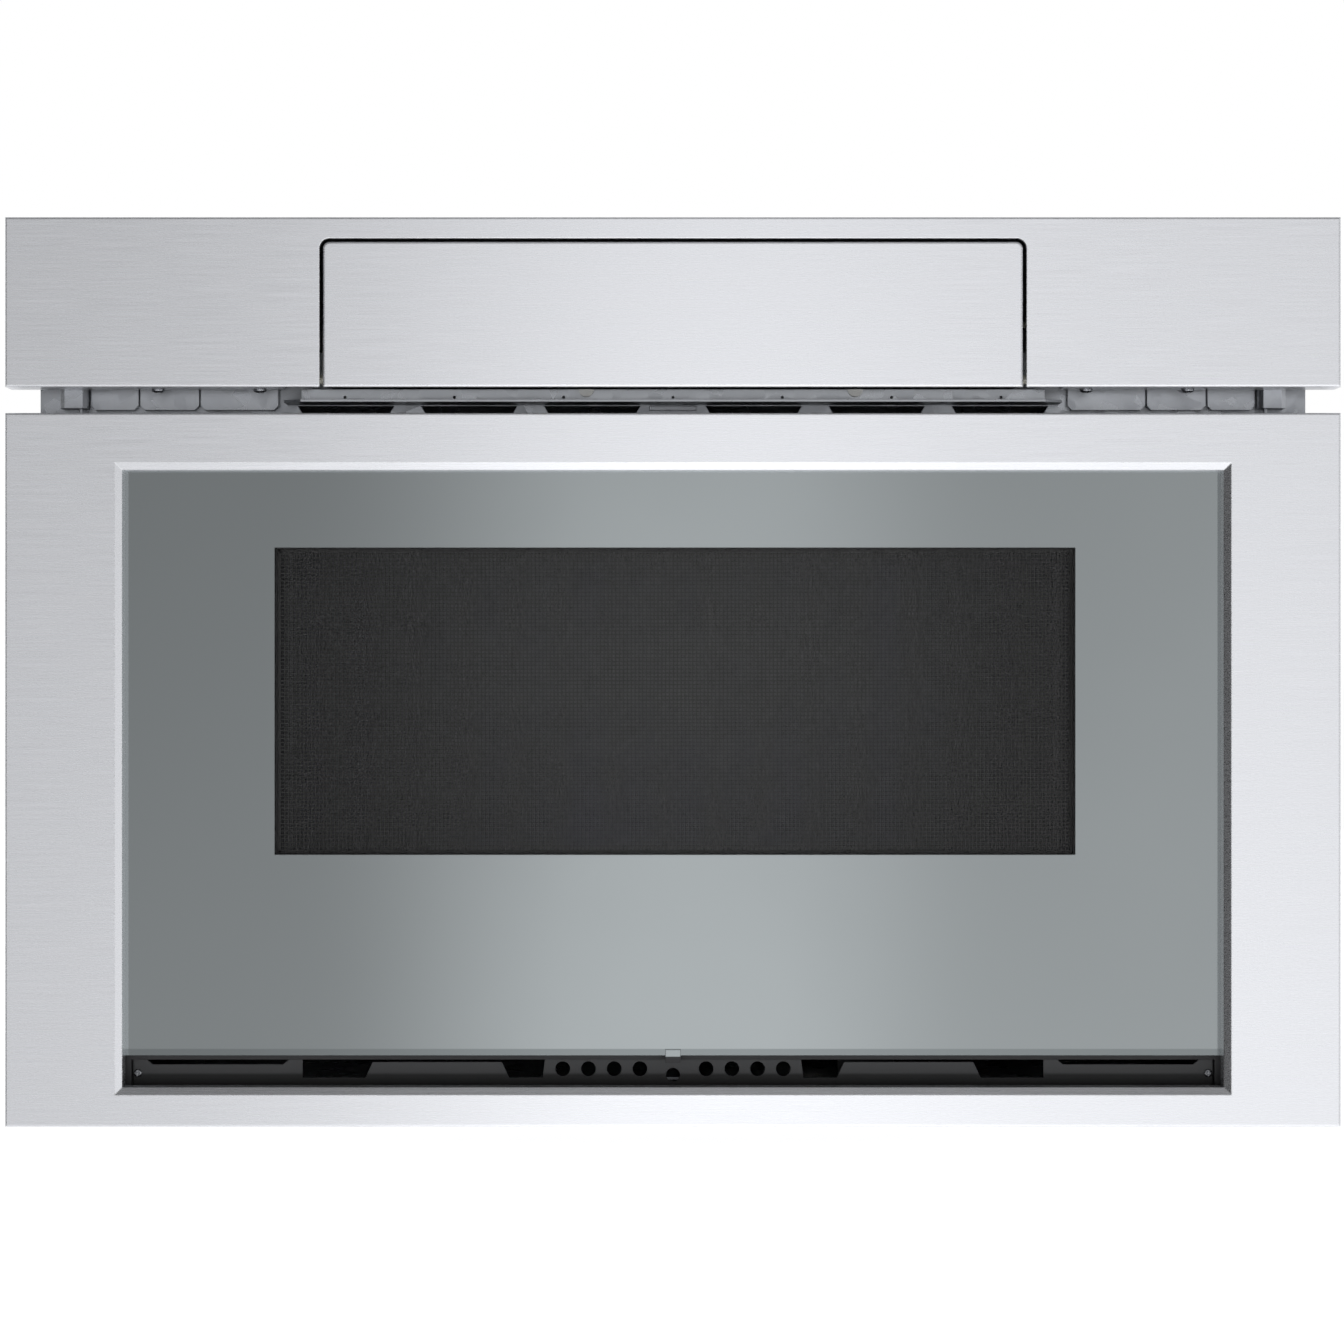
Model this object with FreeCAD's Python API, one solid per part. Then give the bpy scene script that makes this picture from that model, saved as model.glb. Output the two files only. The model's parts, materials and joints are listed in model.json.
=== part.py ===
"""Built-in microwave drawer, millimetres, +X right, +Y to the back, +Z up.

The origin is on the shelf that the chassis stands on, in the plane of the cabinet's face, at the
middle of the width. The steel front stands front_depth ahead of that plane.
"""
import FreeCAD, Part
import math
import os

V = FreeCAD.Vector
AXIS_X = V(1, 0, 0)
AXIS_Y = V(0, 1, 0)
AXIS_Z = V(0, 0, 1)
SIDES = (-1, 1)

# ---------------------------------------------------------------- driving dimensions
# Sheet, clearances, and how far a cutter runs past the face it cuts
sheet = 1.2
bracket_sheet = 1.5
fit = 0.3
pin_clearance = 0.05
through = 1.0

# Steel front
front_width = 606.4
front_depth = 40.0
front_drop = 18.0
drawer_front_height = 324.1
reveal = 11.8
fascia_height = 77.1
panel_fold = 22.0
bend_radius = 0.9

# Picture-frame opening of the drawer front, and its glass
frame_side = 49.7
frame_bottom = 14.5
frame_top = 22.6
frame_bevel = 3.3
bevel_depth = 2.0
glass_recess = 14.0
glass_thickness = 4.0
glass_overlap = 4.0
glass_corner = 3.0
intake_height = 16.8
window_width = 363.6
window_lift = 123.5
window_drop = 61.3
window_offset = 0.9
screen_thickness = 0.8
screen_room = 0.2
inner_glass_thickness = 3.0
inner_glass_lap = 8.0
clip_half = 3.5
clip_thickness = 1.6
clip_drop = 3.4
clip_grip = 2.8

# Moulded door frame with its ribs, and the choke ring on its back
door_wall = 3.0
door_rib = 2.4
rib_pitch = 48.0
choke_depth = 5.8
choke_gap = 1.0
choke_side_lap = 18.0
choke_top_lap = 20.0
choke_foot_lap = 14.0
choke_corner = 8.0
choke_rim = 3.0
groove_depth = 3.4
groove_width = 10.0
choke_rib = 1.6
choke_rib_pitch = 32.0

# Intake grille under the glass
grille_recess = 23.0
grille_height = 12.2
grille_foot = 2.6
grille_side_gap = 2.5
outer_land_width = 77.8
plain_land_width = 67.3
plain_land_inset = 105.9
centre_land_half = 60.0
land_slope = 4.0
notch_inset = 9.0
notch_depth = 2.3
notch_slope = 4.0
grille_hole_radius = 3.4
grille_hole_pitch = 11.8
grille_hole_start = 15.2
grille_hole_count = 4
grille_hole_drop = 4.3
middle_hole_radius = 3.2
middle_hole_drop = 7.1

# Flap of the hidden control panel, and the module behind it
flap_width = 317.8
flap_crown = 11.2
flap_gap = 1.6
flap_corner = 3.0
flap_return = 4.0
cutout_return = 5.0
flap_pivot_room = 26.8
flap_pivot_lift = 4.2
flap_swing_gap = 0.4
flap_pin_radius = 2.0
flap_hub_wall = 1.4
flap_arm_length = 22.0
flap_arm_tip_half = 2.6
flap_pin_overlap = 0.5
flap_pin_stickout = 1.0
flap_shaft_radius = 1.5
flap_shaft_reach = 4.0
flap_motor_radius = 9.0
flap_motor_gap = 1.5
flap_motor_room = 13.0
bearing_sheet = 3.0
bearing_lift = 0.6
bearing_back = 9.0
bearing_rise = 14.0
bearing_height = 34.0
bearing_foot_low = 12.0
bearing_foot_sheet = 2.0
control_glass_thickness = 3.0
module_side_gap = 2.6
module_foot_gap = 0.7
module_back_gap = 2.2
module_wall = 1.8
module_slope = 14.0
module_flat = 28.0
board_thickness = 1.6
board_drop = 6.0
board_inset = 3.0
display_half = 28.0
plug_x = 72.0
plug_half = 12.0
plug_height = 10.0
chip_size = 7.0
chip_height = 2.0
chip_places = (-120.0, -90.0, -60.0, 20.0, 110.0)

# Gears: module, teeth, face width
pressure_angle = 20.0
gear_backlash = 0.16
root_clearance = 0.25
flap_gear_module = 1.0
sector_teeth = 48
flap_pinion_teeth = 12
flap_gear_face = 3.4
flap_pinion_angle = 60.0
flap_open_angle = 45.0
sector_spare_teeth = 1
flap_pinion_side_gap = 0.2
drive_module = 1.5
drive_teeth = 18
drive_face = 10.0

# Moulded tray behind the fascia, and what joins it to the chassis
tray_wall = 2.0
tray_back_lift = 18.1
tray_web_inset = 39.2
block_inset = 22.0
block_width = 12.3
block_drop = 8.4
guide_pin_inset = 30.9
guide_pin_y = -12.0
guide_pin_radius = 1.0
guide_pin_reach = 9.0
guide_pin_gap = 0.9
block_clip = 2.0
support_reach = 6.8
pad_drop = 8.8
pad_clip = 2.0
pad_split = 0.8
pad_gap = 1.4
block_gap = 0.4
pad_shares = (0.0, 0.42, 0.74, 1.0)
buffer_radius = 3.5
buffer_depth = 2.0
buffer_gap = 0.2
buffer_places = (-39.6, 83.3)

# Plate over the exhaust vents
lip_taper = 8.0
lip_drop = 4.9
lip_set = 10.5
upstand_set = 5.5
upstand_gap = 0.1
lip_hole_pitch = 50.0
lip_hole_count = 7
lip_hole_radius = 0.7
lip_hole_lift = 1.1

# Chassis body
body_width = 558.0
body_top_set = 23.0
bay_depth = 121.4
flange_width = 13.3
cavity_floor_height = 80.0
cavity_sheet = 1.0
cavity_corner = 4.0
screw_hole_radius = 2.25
screw_spacing_z = 220.0
screw_row_height = 150.0
vent_start = 37.3
vent_pitch = 56.9
vent_count = 3
vent_top_width = 44.4
vent_bottom_width = 30.0
vent_drop = 6.5
vent_height = 12.0
vent_clip = 1.6
centre_pad_half = 10.8
centre_pad_height = 2.1
slide_opening_inset = 13.0
slide_opening_gap = 3.0
air_slot_width = 5.0
air_slot_length = 40.0
air_slot_pitch = 12.0
air_slot_rows = 6
air_slot_columns = 4
air_slot_step = 46.0
air_slot_inset = 52.0

# Drawer tub (inside sizes) and the room round it
tub_side_room = 59.0
tub_length = 418.0
tub_top_drop = 40.1
tub_sheet = 1.2
tub_corner = 12.0
tub_side_gap = 11.8
tub_floor_gap = 5.0
tub_top_gap = 10.0
tub_back_gap = 16.0
rim_width = 5.0
rim_set = 10.0
tray_thickness = 4.0
tray_inset = 6.0
tray_lip = 1.5

# Telescopic slides, drive and latch
travel_short = 37.0
rail_reserve = 59.0
rail_height = 45.0
rail_depth = 12.0
rail_sheet = 1.2
rail_race = 2.2
rail_lift = 19.5
rail_side_room = 17.0
rail_nest = 3.2
rail_front_y = 2.0
middle_rail_front_y = -4.0
rail_hole_radius = 3.0
bracket_inset = 10.0
bracket_window_count = 3
bracket_window_length = 60.0
bracket_window_height = 18.0
pinion_x = 60.0
pinion_y = 44.0
pinion_z = 22.0
rack_width = 12.0
rack_back = 6.6
rack_spare_teeth = 2
hat_height = 10.0
hat_brim = 5.0
cross_height = 16.0
carriage_window_inset = 40.0
motor_gap = 5.0
gearbox_width = 26.0
gearbox_front = 18.0
gearbox_back = 26.0
gearbox_rise = 17.0
gearbox_clip = 5.0
motor_radius = 16.0
motor_length = 58.0
motor_shaft_radius = 4.0
shaft_depth = 14.0
foot_reach = 18.0
hook_lift = 180.0
hook_reach = 14.0
hook_thickness = 4.0
hook_root_half = 14.0
hook_root_depth = 6.0
hook_slot_gap = 4.0
hook_catch = 3.0
hook_catch_length = 7.0
hook_slot_width = 8.0
hook_slot_height = 20.0
switch_gap = 4.0
switch_half = 5.0
switch_length = 20.0
switch_half_height = 12.0
switch_plate_half_height = 22.0
plunger_radius = 1.8
plunger_depth = 6.0
plunger_travel = 2.0
plunger_gap = 0.2

# Wave inlet over the cavity
stirrer_offset = 8.0
chamber_half = 76.0
stirrer_hole_half = 66.0
stirrer_cover_lap = 10.0
stirrer_cover_thickness = 2.5
guide_height = 30.0
guide_half = 46.0
guide_shoulder = 20.0
guide_end_gap = 6.0
stirrer_lift = 12.0
stirrer_hub_radius = 7.0
stirrer_shaft_radius = 2.5
paddle_count = 3
paddle_length = 62.0
paddle_root_half = 9.0
paddle_tip_half = 16.0
paddle_lug = 8.0
stirrer_motor_radius = 24.0
stirrer_motor_height = 14.0
stirrer_ear_half = 33.0
stirrer_ear_width = 14.0
lamp_y = 120.0
lamp_drop = 30.0
lamp_radius = 9.0
lamp_length = 26.0
lamp_stand = 3.0
lamp_hole_size = 3.2
lamp_hole_pitch = 7.0
lamp_hole_rows = 3

# Power unit in the bay behind the cavity
yoke_half_x = 47.0
yoke_bay_gap = 21.7
yoke_height = 86.0
yoke_wall = 2.0
filter_box_height = 26.0
filter_box_inset = 6.0
magnet_air_gap = 10.0
anode_step = 8.0
magnet_height = 12.0
antenna_radius = 8.0
antenna_lift = 18.0
antenna_gap = 1.0
fin_count = 6
fin_pitch = 7.0
fin_sheet = 0.8
fan_x = -118.0
fan_z = 190.0
fan_bay_gap = 15.7
fan_depth = 34.0
fan_wall = 6.0
fan_tip_gap = 4.5
fan_hub_radius = 13.0
fan_shaft_radius = 2.0
fan_blade_count = 5
fan_blade_chord = 24.0
fan_blade_pitch = 40.0
fan_blade_thickness = 1.4
spoke_width = 6.0
spoke_depth = 3.0
fan_motor_half = 20.0
fan_motor_depth = 20.0
fan_coil_depth = 4.0
duct_wall = 1.5
core_x = 146.0
core_half_x = 50.0
core_bay_gap = 19.7
core_height = 78.0
core_limb = 16.0
core_window = 16.0
winding_length = 28.0
winding_reach = 12.0
winding_gap = 4.0
capacitor_x = 50.0
capacitor_half = 26.0
capacitor_depth = 34.0
capacitor_height = 92.0
tab_size = 6.0
tab_height = 10.0
tab_offset = 12.0
diode_x = 8.0
diode_radius = 5.0
diode_length = 24.0
board_wall_gap = 14.0
board_bay_gap = 12.7
board_low = 110.0
board_top = 300.0
choke_coil_rise = 38.0
choke_coil_half = 16.0
choke_coil_depth = 24.0
reservoir_rise = 90.0
reservoir_radius = 11.0
relay_drop = 50.0
relay_half_y = 23.0
relay_half_z = 13.0
relay_depth = 14.0
board_post = 6.0
cutout_x = 150.0
cutout_lead = 114.0
cutout_radius = 8.0
cutout_height = 7.0
cutout_ear = 12.0
exhaust_depth = 46.0
exhaust_half = 178.0
exhaust_slope = 16.0
outlet_y = 30.0
inlet_x = -215.0
inlet_z = 60.0
inlet_radius = 9.0
inlet_bore_radius = 4.0
inlet_nut_wall = 4.0
inlet_nut_depth = 5.0

# Sides of the polygons that stand for small or hidden round pieces
few_sides = 12
can_sides = 16
hex_sides = 6

# ---------------------------------------------------------------- derived places
half_front = front_width / 2
front_y = -front_depth
plate_front_y = -sheet
panel_back_y = front_y + panel_fold
drawer_bottom = -front_drop
drawer_top = drawer_bottom + drawer_front_height
fascia_bottom = drawer_top + reveal
fascia_top = fascia_bottom + fascia_height

opening_half = half_front - frame_side
opening_low = drawer_bottom + frame_bottom
opening_high = drawer_top - frame_top
sight_half = opening_half - frame_bevel
sight_low = opening_low + frame_bevel
sight_high = opening_high - frame_bevel
glass_front_y = front_y + glass_recess
glass_back_y = glass_front_y + glass_thickness
glass_half = sight_half + glass_overlap
glass_low = opening_low + intake_height
glass_high = sight_high + glass_overlap
window_left = window_offset - window_width / 2
window_right = window_offset + window_width / 2
window_low = drawer_bottom + window_lift
window_high = drawer_top - window_drop

choke_back_y = plate_front_y - choke_gap
door_back_y = choke_back_y - choke_depth
door_half = half_front - sheet - fit
door_low = drawer_bottom + sheet + fit
door_high = drawer_top - sheet - fit
intake_half = sight_half - grille_side_gap
intake_low = sight_low - sheet
intake_high = glass_low - clip_drop + sheet
grille_front_y = front_y + grille_recess
grille_back_y = grille_front_y + sheet
grille_foot_high = sight_low + grille_foot
grille_top = sight_low + grille_height - sheet

half_flap = flap_width / 2
flap_top = fascia_top - flap_crown
cutout_half = half_flap + flap_gap
cutout_top = flap_top + flap_gap
cutout_corner = flap_corner + flap_gap
flap_pivot_y = plate_front_y - flap_pivot_room
flap_pivot_z = fascia_bottom + flap_pivot_lift
module_half = half_flap - module_side_gap
module_front_y = front_y + flap_return
module_low = fascia_bottom + module_foot_gap
module_back_y = plate_front_y - tray_wall - module_back_gap
flap_swing_radius = cutout_top - flap_pivot_z - flap_swing_gap
glass_top = flap_pivot_z + math.sqrt(flap_swing_radius ** 2 - (module_back_y - flap_pivot_y) ** 2)
glass_bottom = glass_top - control_glass_thickness
board_high = glass_bottom - board_drop
board_low_face = board_high - board_thickness

sector_pitch_radius = flap_gear_module * sector_teeth / 2
flap_pinion_radius = flap_gear_module * flap_pinion_teeth / 2
flap_centres = sector_pitch_radius + flap_pinion_radius
flap_pinion_y = flap_pivot_y + flap_centres * math.cos(math.radians(flap_pinion_angle))
flap_pinion_z = flap_pivot_z + flap_centres * math.sin(math.radians(flap_pinion_angle))
sector_x0 = module_half
sector_x1 = module_half + flap_gear_face
bearing_x0 = cutout_half + sheet + fit
bearing_x1 = bearing_x0 + bearing_sheet
flap_motor_x0 = bearing_x1 + flap_motor_gap
tray_inner_x = bearing_x1 + flap_motor_room
lip_half = tray_inner_x

body_height = fascia_top - body_top_set
half_body = body_width / 2
half_flange = half_body + flange_width
wall_inner = half_body - sheet
cover_low = body_height - sheet

tub_half = half_body - tub_side_room + tub_sheet
tub_low = cavity_floor_height + tub_floor_gap
tub_high = drawer_top - tub_top_drop
tub_front_y = door_back_y
tub_back_y = tub_front_y + tub_length + 2 * tub_sheet
cavity_half = tub_half + tub_side_gap
cavity_ceiling = tub_high + tub_top_gap
cavity_back_y = tub_back_y + tub_back_gap
cavity_out_half = cavity_half + cavity_sheet
cavity_roof = cavity_ceiling + cavity_sheet
cavity_rear = cavity_back_y + cavity_sheet
bay_back_y = cavity_rear + bay_depth
body_depth = bay_back_y + sheet
bay_half = bay_depth / 2
bay_y = cavity_rear + bay_half

drawer_travel = tub_length - travel_short
rail_length = drawer_travel + rail_reserve
rail_out_x = half_body - rail_side_room
rail_in_x = rail_out_x - rail_depth
rail_mid_z = rail_lift + rail_height / 2
middle_height = rail_height - 2 * rail_sheet - 2 * rail_race
inner_height = middle_height - 2 * rail_sheet - 2 * rail_race
carriage_back_y = door_back_y + rail_length

tray_front_y = front_y + sheet + fit
tray_back_low = fascia_bottom + tray_back_lift
tray_floor_low = fascia_bottom + sheet + fit
tray_high = fascia_top - sheet - fit
tray_half = half_front - sheet - fit
tray_web_x = half_front - tray_web_inset
support_front_y = plate_front_y - support_reach
block_out_x = half_front - block_inset
block_in_x = block_out_x - block_width
block_low = fascia_bottom - block_drop
block_front_y = panel_back_y + fit
lip_high = fascia_bottom - lip_drop
lip_front_y = front_y + lip_set
upstand_y = lip_front_y + upstand_set
vent_high = fascia_bottom - vent_drop
pad_low = fascia_bottom - pad_drop
pad_start = tray_inner_x + tray_wall + pad_gap
pad_span = block_in_x - block_gap - pad_start
pad_edges = [pad_start + share * pad_span for share in pad_shares]

hook_x = (cavity_half + choke_side_lap + half_body) / 2
switch_y = hook_reach + switch_gap
pitch_radius_drive = drive_module * drive_teeth / 2
tooth_pitch = math.pi * drive_module
rack_pitch_z = pinion_z + pitch_radius_drive
rack_root_z = rack_pitch_z + (1 + root_clearance) * drive_module
rack_top_z = rack_root_z + rack_back
motor_x0 = pinion_x + rack_width + motor_gap
motor_x1 = motor_x0 + gearbox_width

stirrer_y = (tub_front_y + tub_back_y) / 2 + stirrer_offset
stirrer_blade_z = cavity_roof + stirrer_lift
guide_roof = cavity_roof + guide_height
guide_rear_y = bay_back_y - guide_end_gap
lamp_z = tub_high - lamp_drop
yoke_half_y = bay_half - yoke_bay_gap
magnet_radius = yoke_half_y - yoke_wall - magnet_air_gap
anode_radius = magnet_radius - anode_step
yoke_high = cavity_roof
yoke_low = yoke_high - yoke_height
fan_radius = bay_half - fan_bay_gap
fan_front_x = fan_x - fan_depth / 2
fan_back_x = fan_x + fan_depth / 2
core_half_y = bay_half - core_bay_gap
core_low = sheet
core_high = core_low + core_height
board_face_x = -wall_inner + board_wall_gap + board_thickness
board_half_y = bay_half - board_bay_gap


# ---------------------------------------------------------------- drawing helpers
def on_xz(y):
    """Places a flat point (u, v) in the vertical plane across the object at depth y."""
    return lambda u, v: V(u, y, v)


def on_yz(x):
    """Places a flat point (u, v) in the vertical plane along the object at x."""
    return lambda u, v: V(x, u, v)


def on_xy(z):
    """Places a flat point (u, v) in the level plane at height z."""
    return lambda u, v: V(u, v, z)


def outline(points, radius, place):
    """A closed outline through the points, with its corners rounded by tangent arcs."""
    count = len(points)
    radii = radius if isinstance(radius, (list, tuple)) else [radius] * count
    turns = []
    for i in range(count):
        corner = V(points[i][0], points[i][1], 0)
        if radii[i] <= 0:
            turns.append((corner, corner, None))
            continue
        before = V(points[i - 1][0], points[i - 1][1], 0) - corner
        after = V(points[(i + 1) % count][0], points[(i + 1) % count][1], 0) - corner
        half_angle = before.getAngle(after) / 2
        reach = radii[i] / math.tan(half_angle)
        before.normalize()
        after.normalize()
        inward = before + after
        inward.normalize()
        middle = corner + inward * (radii[i] / math.sin(half_angle) - radii[i])
        turns.append((corner + before * reach, corner + after * reach, middle))
    edges = []
    for i in range(count):
        arrive, leave, middle = turns[i]
        if middle is not None:
            arc = Part.Arc(place(arrive.x, arrive.y), place(middle.x, middle.y), place(leave.x, leave.y))
            edges.append(arc.toShape())
        target = turns[(i + 1) % count][0]
        edges.append(Part.makeLine(place(leave.x, leave.y), place(target.x, target.y)))
    return Part.Wire(edges)


def slab_xz(points, y0, y1, radius=0):
    """An upright plate with the outline given by (x, z) points."""
    return Part.Face(outline(points, radius, on_xz(y0))).extrude(V(0, y1 - y0, 0))


def slab_yz(points, x0, x1, radius=0):
    """A plate across X with the outline given by (y, z) points."""
    return Part.Face(outline(points, radius, on_yz(x0))).extrude(V(x1 - x0, 0, 0))


def slab_xy(points, z0, z1, radius=0):
    """A level plate with the outline given by (x, y) points."""
    return Part.Face(outline(points, radius, on_xy(z0))).extrude(V(0, 0, z1 - z0))


def rect(u0, u1, v0, v1):
    """The four corners of a rectangle."""
    return [(u0, v0), (u1, v0), (u1, v1), (u0, v1)]


def around(u, v, half_u, half_v):
    """The four corners of a rectangle about its middle."""
    return rect(u - half_u, u + half_u, v - half_v, v + half_v)


def clipped(u0, u1, v0, v1, clip):
    """A rectangle with its four corners cut off at 45 degrees."""
    return [(u0 + clip, v0), (u1 - clip, v0), (u1, v0 + clip), (u1, v1 - clip),
            (u1 - clip, v1), (u0 + clip, v1), (u0, v1 - clip), (u0, v0 + clip)]


def polygon(u, v, reach, sides):
    """A regular polygon with its corners at the reach, for small or hidden round pieces."""
    turns = [math.pi * (2 * i + 1) / sides for i in range(sides)]
    return [(u + reach * math.cos(turn), v + reach * math.sin(turn)) for turn in turns]


def bored(u, v, radius, sides):
    """A regular polygon with its flats at the radius, so that a bar of that radius turns inside it."""
    return polygon(u, v, radius / math.cos(math.pi / sides), sides)


def block(x0, x1, y0, y1, z0, z1):
    """A rectangular block between two corners."""
    return Part.makeBox(x1 - x0, y1 - y0, z1 - z0, V(x0, y0, z0))


def rod_x(x0, x1, y, z, radius):
    """A round bar along X."""
    return Part.makeCylinder(radius, x1 - x0, V(x0, y, z), AXIS_X)


def rod_y(y0, y1, x, z, radius):
    """A round bar along Y."""
    return Part.makeCylinder(radius, y1 - y0, V(x, y0, z), AXIS_Y)


def joined(pieces):
    """One solid from touching pieces, without the seams between them."""
    return pieces[0].multiFuse(pieces[1:]).removeSplitter()


def without(body, tools):
    """The body with every tool cut away."""
    return body.cut(tools)


def mirrored(shape):
    """The same shape on the other side of the middle plane."""
    return shape.mirror(V(0, 0, 0), AXIS_X)


def both_sides(shape):
    """A shape and its mirror image, as separate solids of one group."""
    return Part.makeCompound([shape, mirrored(shape)])


def spread(count, pitch):
    """Places of a row of copies, centred on zero."""
    return [(i - (count - 1) / 2) * pitch for i in range(count)]


def cells(low, high, pitch, rib):
    """Ranges of equal cells between low and high, about a pitch long, with a rib between them."""
    count = max(1, round((high - low) / pitch))
    step = (high - low + rib) / count
    return [(low + i * step, low + (i + 1) * step - rib) for i in range(count)]


# ---------------------------------------------------------------- drawer front
def folded_panel(half, z0, z1, depth, corners):
    """A sheet panel at the front, its four edges folded back with a small outside bend."""
    shell = slab_xz(rect(-half, half, z0, z1), front_y, front_y + depth, corners)
    rim = [e for e in shell.Edges if e.BoundBox.YMax < front_y + sheet / 2]
    shell = shell.makeFillet(bend_radius, rim)
    inside = slab_xz(rect(-half + sheet, half - sheet, z0 + sheet, z1 - sheet), front_y + sheet,
                     front_y + depth)
    return shell.cut(inside)


def drawer_front_panel():
    """The stainless picture frame: folded edges and a mitred bevel that leads in to the glass."""
    panel = folded_panel(half_front, drawer_bottom, drawer_top, panel_fold, 0)
    wide = rect(-opening_half, opening_half, opening_low, opening_high)
    sight = rect(-sight_half, sight_half, sight_low, sight_high)
    bevel_y = front_y + bevel_depth
    collar = slab_xz(rect(-opening_half - sheet, opening_half + sheet, opening_low - sheet,
                          opening_high + sheet),
                     front_y + sheet / 2, bevel_y + sheet)
    tunnel = slab_xz(rect(-sight_half - sheet, sight_half + sheet, sight_low - sheet, sight_high + sheet),
                     bevel_y, glass_front_y)
    funnel = Part.makeLoft([outline(wide, 0, on_xz(front_y)), outline(sight, 0, on_xz(bevel_y))], True)
    way = slab_xz(sight, bevel_y, glass_front_y)
    return without(joined([panel, collar, tunnel]), [funnel, way])


def front_glass():
    """The coated front glass, clipped behind the frame and open to the air intake below it."""
    return slab_xz(rect(-glass_half, glass_half, glass_low, glass_high), glass_front_y, glass_back_y,
                   [0, 0, glass_corner, glass_corner])


def window_screen():
    """The screen plate in the window, just behind the glass."""
    return slab_xz(rect(window_left, window_right, window_low, window_high), glass_back_y,
                   glass_back_y + screen_thickness)


def door_pockets():
    """The hollows in the back of the door frame, round the window, with ribs left between them."""
    left = window_left - screen_room - inner_glass_lap
    right = window_right + screen_room + inner_glass_lap
    low = window_low - inner_glass_lap
    high = window_high + inner_glass_lap
    edge = door_half - door_wall
    bands = [(-edge, edge, high, door_high - door_wall), (-edge, edge, glass_low + door_wall, low),
             (-edge, left - door_rib, low + door_rib, high - door_rib),
             (right + door_rib, edge, low + door_rib, high - door_rib)]
    return [block(x0, x1, glass_back_y + door_wall, door_back_y + through, z0, z1)
            for left_x, right_x, z0, z1 in bands
            for x0, x1 in cells(left_x, right_x, rib_pitch, door_rib)]


def door_frame():
    """The moulded carrier that fills the steel front and holds glass, screen and choke, ribbed behind."""
    frame = slab_xz(rect(-door_half, door_half, door_low, door_high), glass_back_y, door_back_y)
    sight = block(window_left - screen_room, window_right + screen_room, glass_back_y - through,
                  door_back_y + through, window_low - screen_room, window_high + screen_room)
    intake = block(-intake_half - fit, intake_half + fit, glass_back_y - through, door_back_y + through,
                   intake_low - fit, intake_high)
    clip = block(-clip_half, clip_half, glass_front_y - clip_thickness, glass_front_y, glass_low - clip_drop,
                 glass_low + clip_grip)
    clip_foot = block(-clip_half, clip_half, glass_front_y, glass_back_y + door_wall, glass_low - clip_drop,
                      glass_low)
    return joined([without(frame, [sight, intake] + door_pockets()), clip, clip_foot])


def land(x0, x1, top, slope_left, slope_right):
    """One upright land of the grille, with its ends sloped by the amounts given."""
    foot = grille_foot_high - sheet
    return slab_xz([(x0, foot), (x1, foot), (x1 - slope_right, top), (x0 + slope_left, top)],
                   grille_front_y, grille_back_y)


def lower_air_grille():
    """The intake strip under the glass: outer lands with notches, plain lands, and a row of holes."""
    foot = block(-intake_half, intake_half, grille_front_y, grille_back_y, intake_low, grille_foot_high)
    outer_x = intake_half - outer_land_width
    plain_x = intake_half - plain_land_inset
    y0 = grille_front_y - through
    y1 = grille_back_y + through
    notch = slab_xz([(outer_x + notch_inset - notch_slope, grille_top + through),
                     (intake_half - notch_inset + notch_slope, grille_top + through),
                     (intake_half - notch_inset, grille_top - notch_depth),
                     (outer_x + notch_inset, grille_top - notch_depth)], y0, y1)
    outer_land = land(outer_x, intake_half, grille_top, 0, 0).cut(notch)
    plain_land = land(plain_x - plain_land_width, plain_x, grille_top - sheet, land_slope, land_slope)
    centre_land = land(-centre_land_half, centre_land_half, grille_top, sheet, sheet)
    lands = [foot, centre_land, outer_land, mirrored(outer_land), plain_land, mirrored(plain_land)]
    hole_z = grille_top - grille_hole_drop
    holes = [slab_xz(polygon(side * (grille_hole_start + i * grille_hole_pitch), hole_z, grille_hole_radius,
                             few_sides), y0, y1)
             for side in SIDES for i in range(grille_hole_count)]
    holes.append(slab_xz(polygon(0, grille_top - middle_hole_drop, middle_hole_radius, few_sides), y0, y1))
    return without(joined(lands), holes)


def choke_cover():
    """The choke round the tub's mouth: a ring with a groove divided into short cells."""
    x = cavity_half + choke_side_lap
    z0 = cavity_floor_height - choke_foot_lap
    z1 = cavity_ceiling + choke_top_lap
    ring = slab_xz(clipped(-x, x, z0, z1, choke_corner), door_back_y, choke_back_y)
    mouth = block(-tub_half - fit, tub_half + fit, door_back_y - through, choke_back_y + through,
                  tub_low - fit, tub_high + fit)
    groove_y = choke_back_y - groove_depth
    groove_x = x - choke_rim
    groove_z = z1 - choke_rim
    tools = [mouth]
    for x0, x1 in cells(-groove_x + choke_corner, groove_x - choke_corner, choke_rib_pitch, choke_rib):
        tools.append(block(x0, x1, groove_y, choke_back_y, groove_z - groove_width, groove_z))
    for z2, z3 in cells(tub_low, tub_high, choke_rib_pitch, choke_rib):
        pocket = block(groove_x - groove_width, groove_x, groove_y, choke_back_y, z2, z3)
        tools += [pocket, mirrored(pocket)]
    return without(ring, tools)


def inner_window():
    """The glass that closes the window on the food side, on the tub's front wall."""
    y0 = tub_front_y + tub_sheet
    return block(window_left - inner_glass_lap, window_right + inner_glass_lap, y0,
                 y0 + inner_glass_thickness, window_low - inner_glass_lap, window_high + inner_glass_lap)


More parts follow.
